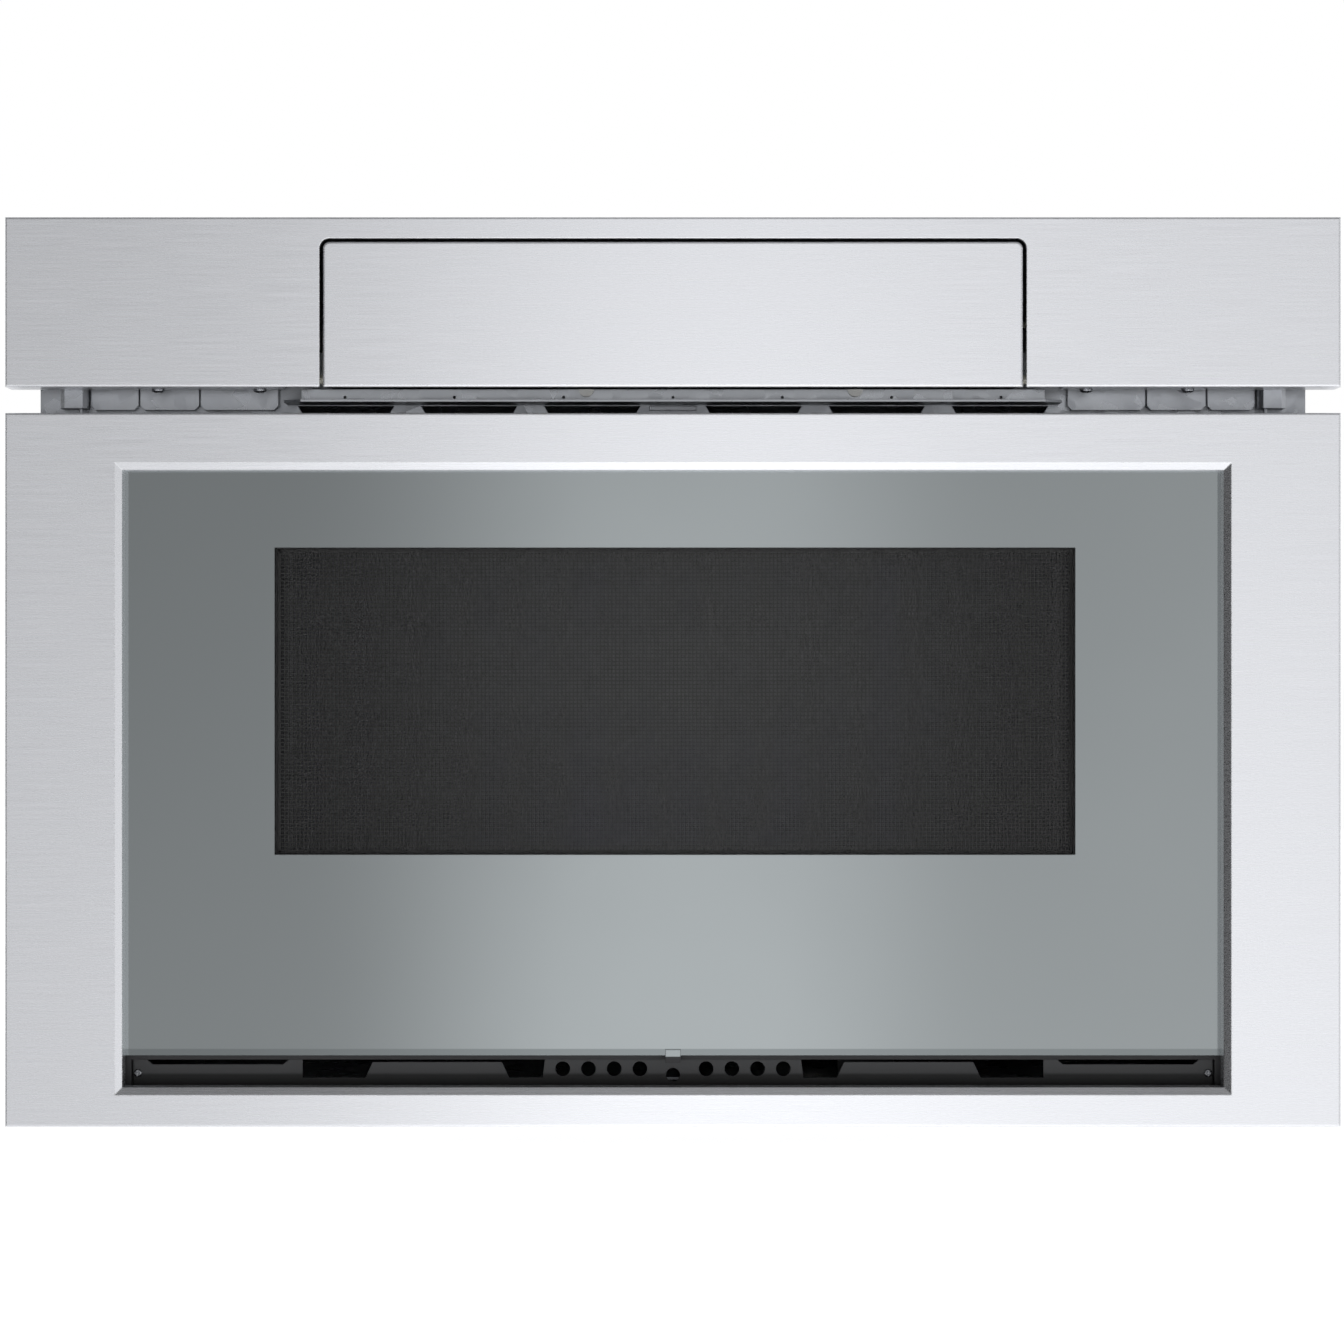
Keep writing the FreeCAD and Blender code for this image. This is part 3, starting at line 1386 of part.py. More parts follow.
def fan_housing():
    """The moulded fan frame: a round throat, the motor's spider, and the duct to the magnetron."""
    half = fan_radius + fan_wall
    reach = fan_radius + fan_wall / 2
    frame = slab_yz(around(bay_y, fan_z, half, half), fan_front_x, fan_back_x)
    throat = slab_yz(bored(bay_y, fan_z, fan_radius, can_sides), fan_front_x - through, fan_back_x + through)
    spokes = [slab_yz(around(bay_y, fan_z, reach, spoke_width / 2), fan_front_x, fan_front_x + spoke_depth),
              slab_yz(around(bay_y, fan_z, spoke_width / 2, reach), fan_front_x, fan_front_x + spoke_depth),
              slab_yz(polygon(bay_y, fan_z, fan_hub_radius, few_sides), fan_front_x,
                      fan_front_x + spoke_depth)]
    bore = slab_yz(bored(bay_y, fan_z, 2 * fan_shaft_radius, few_sides), fan_front_x - through,
                   fan_front_x + spoke_depth + through)
    return without(joined([frame.cut(throat), air_duct()] + spokes), [bore])


def fan_motor():
    """The shaded-pole motor behind the fan."""
    x0 = fan_front_x - fan_motor_depth
    stack = slab_yz(around(bay_y, fan_z, fan_motor_half, fan_motor_half), x0, fan_front_x)
    coil = slab_yz(around(bay_y, fan_z, fan_motor_half / 2, fan_motor_half - fan_coil_depth),
                   x0 - fan_coil_depth, x0)
    bore = slab_yz(bored(bay_y, fan_z, fan_shaft_radius + pin_clearance, few_sides),
                   fan_front_x - fan_motor_depth / 2,
                   fan_front_x + through)
    return without(joined([stack, coil]), [bore])


def cooling_fan():
    """Five pitched blades on a hub and shaft."""
    x0 = fan_front_x + 2 * spoke_depth
    hub = slab_yz(polygon(bay_y, fan_z, fan_hub_radius, few_sides), x0, fan_back_x - 2 * spoke_depth)
    shaft = slab_yz(polygon(bay_y, fan_z, fan_shaft_radius, few_sides),
                    fan_front_x - fan_motor_depth / 2 + through, x0)
    flat = block(fan_x - fan_blade_thickness / 2, fan_x + fan_blade_thickness / 2,
                 bay_y - fan_blade_chord / 2,
                 bay_y + fan_blade_chord / 2, fan_z + fan_hub_radius / 2, fan_z + fan_radius - fan_tip_gap)
    flat.rotate(V(fan_x, bay_y, fan_z), AXIS_Z, fan_blade_pitch)
    blades = []
    for i in range(fan_blade_count):
        blade = flat.copy()
        blade.rotate(V(fan_x, bay_y, fan_z), AXIS_X, 360.0 / fan_blade_count * i)
        blades.append(blade)
    return joined([hub, shaft] + blades)


def transformer_core():
    """The laminated core of the high-voltage transformer, with its two winding windows."""
    y0 = bay_y - core_half_y
    y1 = bay_y + core_half_y
    x0 = core_x - core_half_x
    x1 = core_x + core_half_x
    windows = [block(x0 + core_limb, x1 - core_limb, y0 - through, y1 + through, z, z + core_window)
               for z in (core_low + core_limb, core_high - core_limb - core_window)]
    return without(block(x0, x1, y0, y1, core_low, core_high), windows)


def transformer_winding(side):
    """One coil round the core's middle limb."""
    x = core_x + side * (winding_length + winding_gap) / 2
    z0 = core_low + core_limb + fit
    z1 = core_high - core_limb - fit
    ring = block(x - winding_length / 2, x + winding_length / 2, bay_y - core_half_y - winding_reach,
                 bay_y + core_half_y + winding_reach, z0, z1)
    limb = block(x - winding_length, x + winding_length, bay_y - core_half_y, bay_y + core_half_y,
                 core_low + core_limb + core_window, core_high - core_limb - core_window)
    return ring.cut(limb)


def hv_capacitor():
    """The oil-filled capacitor standing on the base, with its two tab terminals."""
    top = sheet + capacitor_height
    half_depth = capacitor_depth / 2
    can = slab_xy(clipped(capacitor_x - capacitor_half, capacitor_x + capacitor_half, bay_y - half_depth,
                          bay_y + half_depth, half_depth / 2), sheet, top)
    tabs = [block(capacitor_x + side * tab_offset - tab_size / 2,
                  capacitor_x + side * tab_offset + tab_size / 2,
                  bay_y - fin_sheet / 2, bay_y + fin_sheet / 2, top, top + tab_height)
            for side in SIDES]
    return joined([can] + tabs)


def hv_diode():
    """The high-voltage diode on its earth lug beside the capacitor."""
    y0 = bay_y - diode_length / 2
    z = sheet + diode_radius + core_low
    body = slab_xz(polygon(diode_x, z, diode_radius, few_sides), y0, y0 + diode_length)
    lug = block(diode_x - tab_size / 2, diode_x + tab_size / 2, y0 - tab_size, y0, sheet, z + diode_radius)
    return joined([body, lug])


def filter_board():
    """The mains filter and control board, standing on edge by the left wall."""
    x0 = board_face_x - board_thickness
    board = block(x0, board_face_x, bay_y - board_half_y, bay_y + board_half_y, board_low, board_top)
    posts = [slab_yz(polygon(bay_y + side * (board_half_y - board_post), z, board_post / 2, hex_sides),
                     -wall_inner, x0)
             for side in SIDES for z in (board_low + board_post, board_top - board_post)]
    parts = [slab_yz(around(bay_y, board_low + choke_coil_rise, choke_coil_half, choke_coil_half),
                     board_face_x,
                     board_face_x + choke_coil_depth),
             slab_yz(polygon(bay_y, board_low + reservoir_rise, reservoir_radius, few_sides), board_face_x,
                     board_face_x + choke_coil_depth),
             slab_yz(around(bay_y, board_top - relay_drop, relay_half_y, relay_half_z), board_face_x,
                     board_face_x + relay_depth)]
    return joined([board] + posts + parts)


def cavity_lamp():
    """The lamp: a glass bulb in its holder, beside the pierced field of the cavity's right wall."""
    x0 = cavity_out_half + lamp_stand
    x1 = x0 + lamp_length
    holder_y = lamp_y + lamp_radius + lamp_length
    foot_half = lamp_radius + lamp_stand
    bulb = slab_yz(polygon(lamp_y, lamp_z, lamp_radius, few_sides), x0, x1 - lamp_stand)
    nose = slab_yz(polygon(lamp_y, lamp_z, lamp_radius / 2, few_sides), x1 - lamp_stand, x1)
    socket = slab_xz(polygon((x0 + x1) / 2, lamp_z, lamp_radius - through, few_sides), lamp_y, holder_y)
    foot = block(cavity_out_half, x1, holder_y, holder_y + bracket_sheet, lamp_z - foot_half,
                 lamp_z + foot_half)
    return joined([bulb, nose, socket, foot])


def roof_cutout():
    """The thermal cut-out on the cavity's roof."""
    y = tub_back_y - cutout_lead
    can = slab_xy(polygon(cutout_x, y, cutout_radius, few_sides), cavity_roof, cavity_roof + cutout_height)
    ear = slab_xy(around(cutout_x, y, cutout_ear, cutout_radius / 2), cavity_roof, cavity_roof + sheet)
    return joined([can, ear])


def wall_cutout():
    """The thermal cut-out on the cavity's right wall."""
    y = tub_back_y - cutout_lead
    can = slab_yz(polygon(y, lamp_z, cutout_radius, few_sides), cavity_out_half,
                  cavity_out_half + cutout_height)
    ear = slab_yz(around(y, lamp_z, cutout_ear, cutout_radius / 2), cavity_out_half, cavity_out_half + sheet)
    return joined([can, ear])


def exhaust_duct():
    """The duct behind the vents, which takes air from the cavity's roof slots to the front."""
    def profile(inset):
        back = exhaust_depth - inset
        high = vent_high + air_slot_width - inset
        return [(0, cavity_roof), (back, cavity_roof), (back, high - exhaust_slope), (back - exhaust_slope,
                                                                                      high),
                (0, high)]

    outer = slab_yz(profile(0), -exhaust_half, exhaust_half)
    return outer.cut(slab_yz(profile(cavity_sheet), -exhaust_half + cavity_sheet,
                             exhaust_half - cavity_sheet))


# ---------------------------------------------------------------- drive and interlocks
def drive_pinion():
    """The pinion that drives the rack, with its shaft into the gearbox."""
    x0 = pinion_x + (rack_width - drive_face) / 2
    teeth = turned(gear_points(drive_teeth, drive_module, drive_teeth), pinion_y, pinion_z, math.pi / 2)
    shaft = slab_yz(polygon(pinion_y, pinion_z, motor_shaft_radius, few_sides), x0, motor_x0 + shaft_depth)
    return joined([slab_yz(teeth, x0, x0 + drive_face), shaft])


def drive_motor():
    """The drawer's gear motor: worm gearbox, motor can and its mounting foot on the base."""
    y0 = pinion_y - gearbox_front
    y1 = pinion_y + gearbox_back
    high = pinion_z + gearbox_rise
    gearbox = slab_yz([(y0, sheet), (y1, sheet), (y1, high - gearbox_clip), (y1 - 2 * gearbox_clip, high),
                       (y0 + gearbox_clip, high), (y0, high - gearbox_clip)], motor_x0, motor_x1)
    can = slab_xz(polygon((motor_x0 + motor_x1) / 2, sheet + motor_radius + fit, motor_radius, can_sides), y1,
                  y1 + motor_length)
    foot = block(motor_x0, motor_x1 + foot_reach, y0, y1, sheet, sheet + 2 * bracket_sheet)
    bore = slab_yz(bored(pinion_y, pinion_z, motor_shaft_radius + pin_clearance, few_sides),
                   motor_x0 - through,
                   motor_x0 + shaft_depth + through)
    return without(joined([gearbox, can, foot]), [bore])


def latch_hook():
    """The hook on the door's back, which passes through the chassis front and works the interlock."""
    neck_y = door_back_y + hook_root_depth
    neck_half = hook_slot_height / 2 - hook_slot_gap
    tip = hook_lift - neck_half - hook_catch
    points = [(door_back_y, hook_lift - hook_root_half), (neck_y, hook_lift - neck_half),
              (hook_reach - hook_catch_length, hook_lift - neck_half + hook_catch),
              (hook_reach - hook_catch_length, hook_lift - neck_half), (hook_reach, hook_lift - neck_half),
              (hook_reach, hook_lift + neck_half - hook_catch), (neck_y, hook_lift + neck_half),
              (door_back_y, hook_lift + hook_root_half)]
    return slab_yz(points, hook_x - hook_thickness / 2, hook_x + hook_thickness / 2)


def interlock_switch():
    """The door switch on its bracket behind the chassis front; its plunger faces the hook."""
    x0 = hook_x - switch_half
    plate_x = x0 - bracket_sheet
    low = hook_lift - switch_plate_half_height
    high = hook_lift + switch_plate_half_height
    body = block(x0, hook_x + switch_half, switch_y, switch_y + switch_length, hook_lift - switch_half_height,
                 hook_lift + switch_half_height)
    plate = block(plate_x, x0, 0, switch_y + switch_length, low, high)
    foot = block(plate_x - switch_half_height, plate_x, 0, bracket_sheet, low, high)
    bore = slab_xz(bored(hook_x, hook_lift, plunger_radius + pin_clearance, few_sides), switch_y - through,
                   switch_y + plunger_depth + plunger_travel)
    return without(joined([body, plate, foot]), [bore])


def switch_plunger():
    """The switch's button, which the closed drawer's hook meets."""
    return slab_xz(polygon(hook_x, hook_lift, plunger_radius, few_sides), hook_reach + plunger_gap,
                   switch_y + plunger_depth)


def main():
    """Writes every sub-part to its own file."""
    parts = {
        "drawer_front_panel": drawer_front_panel(),
        "front_glass": front_glass(),
        "window_screen": window_screen(),
        "door_frame": door_frame(),
        "lower_air_grille": lower_air_grille(),
        "choke_cover": choke_cover(),
        "inner_window": inner_window(),
        "drawer_tub": drawer_tub(),
        "ceramic_tray": ceramic_tray(),
        "fixed_rails": both_sides(fixed_rail()),
        "middle_rails": both_sides(middle_rail()),
        "drawer_rails": both_sides(drawer_rail()),
        "rail_brackets": both_sides(rail_bracket()),
        "drawer_carriage": drawer_carriage(),
        "gear_rack": gear_rack(),
        "drive_pinion": drive_pinion(),
        "drive_motor": drive_motor(),
        "latch_hooks": both_sides(latch_hook()),
        "interlock_switches": both_sides(interlock_switch()),
        "switch_plunger_right": switch_plunger(),
        "switch_plunger_left": mirrored(switch_plunger()),
        "control_fascia": control_fascia(),
        "fascia_tray": fascia_tray(),
        "fascia_supports": both_sides(fascia_support()),
        "end_blocks": both_sides(end_block()),
        "vent_lip_plate": vent_lip_plate(),
        "flap_buffers": Part.makeCompound([flap_buffer(x) for x in buffer_places]),
        "flap_panel": flap_panel(),
        "control_glass": control_glass(),
        "control_housing": control_housing(),
        "control_board": control_board(),
        "sector_gear": sector_gear(),
        "flap_pivot_arm": hinge_arm(),
        "flap_bearings": both_sides(flap_bearing()),
        "flap_pinion": flap_pinion(),
        "flap_motor": flap_motor(),
        "front_frame": front_frame(),
        "base_plate": base_plate(),
        "side_panels": both_sides(side_panel()),
        "top_cover": top_cover(),
        "rear_panel": rear_panel(),
        "mains_inlet_gland": mains_inlet_gland(),
        "oven_cavity": oven_cavity(),
        "stirrer_cover": stirrer_cover(),
        "waveguide": waveguide(),
        "stirrer": stirrer(),
        "stirrer_motor": stirrer_motor(),
        "magnetron_yoke": magnetron_yoke(),
        "magnetron_core": magnetron_core(),
        "fan_housing": fan_housing(),
        "fan_motor": fan_motor(),
        "cooling_fan": cooling_fan(),
        "transformer_core": transformer_core(),
        "transformer_windings": Part.makeCompound([transformer_winding(side) for side in SIDES]),
        "capacitor_and_diode": Part.makeCompound([hv_capacitor(), hv_diode()]),
        "filter_board": filter_board(),
        "cavity_lamp": cavity_lamp(),
        "thermal_cutouts": Part.makeCompound([roof_cutout(), wall_cutout()]),
        "exhaust_duct": exhaust_duct(),
    }
    os.makedirs("parts", exist_ok=True)
    for name, shape in parts.items():
        shape.exportStep("parts/" + name + ".step")
        print(name, len(shape.Solids), round(shape.Volume), shape.isValid())
    print(len(parts), "sub-parts")


main()
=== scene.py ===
# %% [markdown]
# # A microwave drawer, dressed piece by piece
#
# The construction of the drawer comes from a CAD model: every sheet, rail and gear is already at its
# real size and place. This lesson adds what a camera sees: the grain of the steel, the coating of
# the glass, the tiny holes of the window screen, and the light of a plain studio.
#
# The first step loads the model as a fixed frame. We could model everything again here, but then
# two models would have to agree, so the CAD pieces stay where they are and only get new finishes.

# %% Load the frame
import bpy
import json
import math
import numpy as np
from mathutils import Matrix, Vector


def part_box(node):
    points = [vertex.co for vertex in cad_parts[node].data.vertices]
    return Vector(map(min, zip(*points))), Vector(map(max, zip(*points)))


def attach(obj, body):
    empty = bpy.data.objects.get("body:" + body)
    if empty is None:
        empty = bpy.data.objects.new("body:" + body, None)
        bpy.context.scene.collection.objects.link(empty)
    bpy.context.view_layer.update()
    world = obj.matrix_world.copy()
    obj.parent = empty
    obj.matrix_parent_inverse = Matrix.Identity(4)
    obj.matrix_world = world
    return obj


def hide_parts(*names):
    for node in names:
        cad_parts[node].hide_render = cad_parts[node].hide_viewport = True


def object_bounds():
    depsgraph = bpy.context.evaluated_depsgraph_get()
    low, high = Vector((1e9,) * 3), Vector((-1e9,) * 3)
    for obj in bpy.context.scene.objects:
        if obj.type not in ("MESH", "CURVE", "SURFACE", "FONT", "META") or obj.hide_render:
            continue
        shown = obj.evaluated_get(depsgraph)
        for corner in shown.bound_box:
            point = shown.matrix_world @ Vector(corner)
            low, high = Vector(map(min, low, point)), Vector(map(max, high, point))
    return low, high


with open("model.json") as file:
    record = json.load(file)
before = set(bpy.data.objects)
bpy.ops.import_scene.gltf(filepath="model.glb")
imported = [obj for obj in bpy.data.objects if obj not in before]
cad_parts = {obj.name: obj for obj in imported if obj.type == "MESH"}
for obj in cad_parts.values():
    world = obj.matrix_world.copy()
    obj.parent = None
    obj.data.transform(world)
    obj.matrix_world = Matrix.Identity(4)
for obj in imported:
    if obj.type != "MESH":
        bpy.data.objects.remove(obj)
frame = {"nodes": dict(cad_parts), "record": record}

cad_low, cad_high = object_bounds()
nodes = frame["nodes"]
print("CAD nodes:", len(nodes), "box:", [round(v, 4) for v in (*cad_low, *cad_high)])

# %% [markdown]
# ## A short way to write shader nodes
#
# A finish is a small graph of nodes. Blender can build it by hand in the Shader Editor; written as
# code it needs three lines for every node. Two helpers keep the recipes readable: `wire` makes a
# node and fills or links its inputs, and `finish` makes a material that ends in a Principled shader.
# Numbers that are the same all over a surface go straight on the shader's own sockets.

# %% Node helpers
def wire(tree, kind, inputs=None, **settings):
    """Adds one shader node; an input that is itself a socket is linked, any other is set."""
    made = tree.nodes.new("ShaderNode" + kind)
    for key, value in settings.items():
        setattr(made, key, value)
    for key, value in (inputs or {}).items():
        if isinstance(value, bpy.types.NodeSocket):
            tree.links.new(value, made.inputs[key])
        else:
            made.inputs[key].default_value = value
    return made


def finish(name, **constants):
    """An empty finish: the material, its tree and its Principled shader with constants set."""
    material = bpy.data.materials.new(name)
    material.use_nodes = True
    tree = material.node_tree
    shader = tree.nodes["Principled BSDF"]
    for key, value in constants.items():
        shader.inputs[key.replace("_", " ")].default_value = value
    return material, tree, shader


print("two helpers for shader nodes ready")

# %% [markdown]
# ## Patterns, edges and colours
#
# Real surfaces are never quite even. `speckle` is a noise on the piece's own coordinates, in grains
# per metre, and `between` carries it into the range that a socket wants. `soft_edges` and
# `edge_mask` find the edges, which are rounded and rubbed on anything that is handled; the finishes
# lighten them, partly as that wear and partly as a painted highlight. We could paint wear and
# highlights by hand instead, but then every new piece would have to be painted.

# %% Pattern and edge helpers
def speckle(tree, stretch, detail=3.0, offset=(0, 0, 0)):
    """Noise on the piece's own coordinates; stretch is how many grains per metre along X, Y, Z."""
    place = wire(tree, "TexCoord").outputs["Object"]
    scaled = wire(tree, "Mapping", {"Vector": place, "Scale": stretch, "Location": offset})
    noise = wire(tree, "TexNoise", {"Vector": scaled.outputs[0], "Scale": 1.0, "Detail": detail})
    return noise.outputs["Fac"]


def between(tree, factor, low, high, start=0.3, end=0.7):
    """Carries a factor from the range start..end into the range low..high."""
    span = wire(tree, "MapRange", {"Value": factor, "From Min": start, "From Max": end,
                                   "To Min": low, "To Max": high})
    return span.outputs[0]


def blend_colour(tree, factor, first, second):
    """Mixes two colours by a factor; either may be a socket."""
    mix = wire(tree, "Mix", {0: factor, 6: first, 7: second}, data_type="RGBA")
    return mix.outputs[2]


def soft_edges(tree, radius):
    """Rounds the shading of sharp edges, as a bent or moulded edge has a small radius."""
    return wire(tree, "Bevel", {"Radius": radius}, samples=4).outputs[0]


def edge_mask(tree, rounded):
    """1 along the edges of the piece and 0 on its faces, from how far the rounded normal turns."""
    true_normal = wire(tree, "NewGeometry").outputs["Normal"]
    facing = wire(tree, "VectorMath", {0: rounded, 1: true_normal}, operation="DOT_PRODUCT")
    return between(tree, facing.outputs["Value"], 1.0, 0.0, 0.75, 0.99)


def relief(tree, height, depth, normal):
    """A bump of the given depth in metres, on top of the rounded normal."""
    inputs = {"Height": height, "Distance": depth, "Strength": 1.0, "Normal": normal}
    return wire(tree, "Bump", inputs).outputs[0]


def rgb(*levels):
    """A linear colour from 0..255 screen levels."""
    return tuple((level / 255) ** 2.2 for level in levels) + (1.0,)


def shade(colour, factor, lift=0.0):
    """The colour times a factor, plus a little lift, kept below full white."""
    return tuple(min(1.0, channel * factor + lift) for channel in colour[:3]) + (1.0,)


print("pattern and edge helpers ready")

# %% [markdown]
# ## The steel front
#
# Brushed stainless steel is drawn under an abrasive belt, so its scratches run level for many
# millimetres and are only about a thousandth of a millimetre deep. We stretch a noise a hundred
# times further along X than along Z and use it three ways: a little in the colour, a little in the
# roughness, and as a relief of the real depth. A picture of brushed steel could be wrapped round
# the panels instead, but it would smear on the folded edges; a noise on the piece's own coordinates
# does not.

# %% Brushed and rolled metals
fold_radius = 0.0005
flowers_per_metre = 160.0


def brushed(name, colour, roughness, grain=(16.0, 700.0, 2600.0), depth=1.2e-6, contrast=0.05,
            edge=0.0006, spread=0.0, metal=1.0):
    """Sheet metal with a level grain: long thin noise in colour, roughness and relief.

    With a spread, a reflection is drawn out along Z, across the scratches, and stays narrow along X.
    """
    material, tree, shader = finish(name, Metallic=metal, IOR=2.6, Anisotropic=spread)
    if spread:
        tree.links.new(wire(tree, "CombineXYZ", {"Z": 1.0}).outputs[0], shader.inputs["Tangent"])
    fine = speckle(tree, grain, detail=4.0)
    cloud = speckle(tree, (5.0, 5.0, 5.0), detail=2.0, offset=(3.1, 1.7, 0.4))
    rounded = soft_edges(tree, edge)
    edge_band = edge_mask(tree, rounded)
    tint = blend_colour(tree, between(tree, fine, 0.0, 1.0), shade(colour, 1 - 2 * contrast), colour)
    tint = blend_colour(tree, between(tree, cloud, 0.0, 0.35), tint, shade(colour, 0.94))
    # Lighter edges: partly rubbed wear, partly a painted highlight.
    tint = blend_colour(tree, edge_band, tint, shade(colour, 1.12))
    tree.links.new(tint, shader.inputs["Base Color"])
    rough = between(tree, fine, roughness * 0.86, roughness * 1.14)
    tree.links.new(rough, shader.inputs["Roughness"])
    tree.links.new(relief(tree, fine, depth, rounded), shader.inputs["Normal"])
    return material


def galvanised(name, colour, roughness):
    """Zinc-coated sheet: each cell is a flower of frozen zinc, with its own tone and gloss."""
    material, tree, shader = finish(name, Metallic=0.9, IOR=1.9)
    place = wire(tree, "TexCoord").outputs["Object"]
    zinc = {"Vector": place, "Scale": flowers_per_metre, "Randomness": 1.0}
    cells = wire(tree, "TexVoronoi", zinc)
    level = wire(tree, "SeparateColor", {"Color": cells.outputs["Color"]}).outputs[0]
    cloud = speckle(tree, (14.0, 14.0, 14.0), detail=4.0)
    rounded = soft_edges(tree, fold_radius)
    tint = blend_colour(tree, level, shade(colour, 0.74), colour)
    tint = blend_colour(tree, between(tree, cloud, 0.0, 0.5), tint, shade(colour, 0.8))
    # Lighter edges: partly rubbed wear, partly a painted highlight.
    tint = blend_colour(tree, edge_mask(tree, rounded), tint, shade(colour, 1.25))
    tree.links.new(tint, shader.inputs["Base Color"])
    rough = between(tree, level, roughness * 0.75, roughness * 1.3, 0.0, 1.0)
    tree.links.new(rough, shader.inputs["Roughness"])
    tree.links.new(relief(tree, cloud, 4e-6, rounded), shader.inputs["Normal"])
    return material


print("metal recipes ready")

# %% [markdown]
# ## Mouldings, paint and plated parts
#
# A moulded part copies its mould: a fine spark-eroded texture on the faces, and lighter corners,
# which are partly rubbed by hands and neighbours and partly a painted highlight. The same recipe
# serves for paint with another roughness. A clearcoat would be one more way to get the shine, but
# these parts are not lacquered.

# %% Plastics and paint
mould_radius = 0.0005
layer_radius = 0.0004


def moulded(name, colour, roughness, grain=1500.0, depth=8e-6, shine=1.5, metal=0.0):
    """A moulded or painted surface: spark-eroded grain, cloudy colour, and lighter edges from wear
    and a painted highlight.
    """
    material, tree, shader = finish(name, Metallic=metal, IOR=1.5)
    fine = speckle(tree, (grain, grain, grain), detail=2.0)
    cloud = speckle(tree, (22.0, 22.0, 22.0), detail=4.0, offset=(0.3, 2.2, 1.1))
    rounded = soft_edges(tree, mould_radius)
    edge_band = edge_mask(tree, rounded)
    tint = blend_colour(tree, between(tree, cloud, 0.0, 1.0), shade(colour, 0.86), colour)
    # Lighter edges: partly rubbed wear, partly a painted highlight.
    tint = blend_colour(tree, edge_band, tint, shade(colour, shine, 0.01))
    tree.links.new(tint, shader.inputs["Base Color"])
    rough = between(tree, fine, roughness * 0.88, roughness * 1.12)
    tree.links.new(rough, shader.inputs["Roughness"])
    tree.links.new(relief(tree, fine, depth, rounded), shader.inputs["Normal"])
    return material


def striped(name, colour, gap_colour, axis, per_metre, roughness, metal=0.0, depth=6e-5):
    """Stacked sheets or wound wire: the height is |sin(pi * per_metre * place along the axis)|."""
    material, tree, shader = finish(name, Metallic=metal, IOR=1.5)
    place = wire(tree, "TexCoord").outputs["Object"]
    along = wire(tree, "SeparateXYZ", {"Vector": place}).outputs[axis]
    turns = wire(tree, "Math", {0: along, 1: per_metre * math.pi}, operation="MULTIPLY").outputs[0]
    wave = wire(tree, "Math", {0: turns}, operation="SINE").outputs[0]
    round_top = wire(tree, "Math", {0: wave}, operation="ABSOLUTE").outputs[0]
    cloud = speckle(tree, (60.0, 60.0, 60.0), detail=4.0)
    tint = blend_colour(tree, between(tree, round_top, 0.0, 1.0, 0.05, 0.5), gap_colour, colour)
    tint = blend_colour(tree, between(tree, cloud, 0.0, 0.4), tint, shade(colour, 0.7))
    tree.links.new(tint, shader.inputs["Base Color"])
    rough = between(tree, cloud, roughness * 0.85, roughness * 1.2)
    tree.links.new(rough, shader.inputs["Roughness"])
    normal = soft_edges(tree, layer_radius)
    tree.links.new(relief(tree, round_top, depth, normal), shader.inputs["Normal"])
    return material


print("plastic recipes ready")

# %% [markdown]
# ## Masks
#
# Some pieces carry two finishes on one sheet. A mask is 1 inside a box of the piece's own
# coordinates and 0 outside it, and `masked` mixes a second colour and gloss into a finish there. The
# mesh could be split instead, but a CAD piece stays as it is, and a mask needs no new edges.

# %% Mask helpers
def inside_box(tree, low, high, blur):
    """1 inside a box of X and Z limits and 0 outside, with a border as wide as blur."""
    place = wire(tree, "TexCoord").outputs["Object"]
    axes = wire(tree, "SeparateXYZ", {"Vector": place})
    inside = []
    for axis in (0, 2):
        middle = (low[axis] + high[axis]) / 2
        half = (high[axis] - low[axis]) / 2
        away = wire(tree, "Math", {0: axes.outputs[axis], 1: middle}, operation="SUBTRACT")
        away = wire(tree, "Math", {0: away.outputs[0]}, operation="ABSOLUTE").outputs[0]
        inside.append(between(tree, away, 1.0, 0.0, half - blur, half))
    return wire(tree, "Math", {0: inside[0], 1: inside[1]}, operation="MULTIPLY").outputs[0]


def masked(material, low, high, blur, colour, roughness, metal=None):
    """Another colour and gloss for the part of a finish inside a box, and a metal look if given."""
    tree = material.node_tree
    shader = tree.nodes["Principled BSDF"]
    mask = inside_box(tree, low, high, blur)
    old_colour = shader.inputs["Base Color"].links[0].from_socket
    old_roughness = shader.inputs["Roughness"].links[0].from_socket
    tree.links.new(blend_colour(tree, mask, old_colour, colour), shader.inputs["Base Color"])
    rough = wire(tree, "Mix", {0: mask, 2: old_roughness, 3: roughness}).outputs[0]
    tree.links.new(rough, shader.inputs["Roughness"])
    if metal is not None:
        old_metal = shader.inputs["Metallic"].default_value
        tree.links.new(between(tree, mask, old_metal, metal, 0.0, 1.0), shader.inputs["Metallic"])
    return material


print("mask helpers ready")

# %% [markdown]
# ## Glass
#
# The front glass carries a half-mirror coating in a grey green, left out over the window. So the
# pane is opaque and metallic outside the window and nearly clear inside it; a mask on the piece's
# own coordinates tells the two apart, with its limits taken from the window screen's box. Two panes
# could be modelled instead, but the real one is a single piece.

# %% Glass recipes
pane_radius = 0.0006


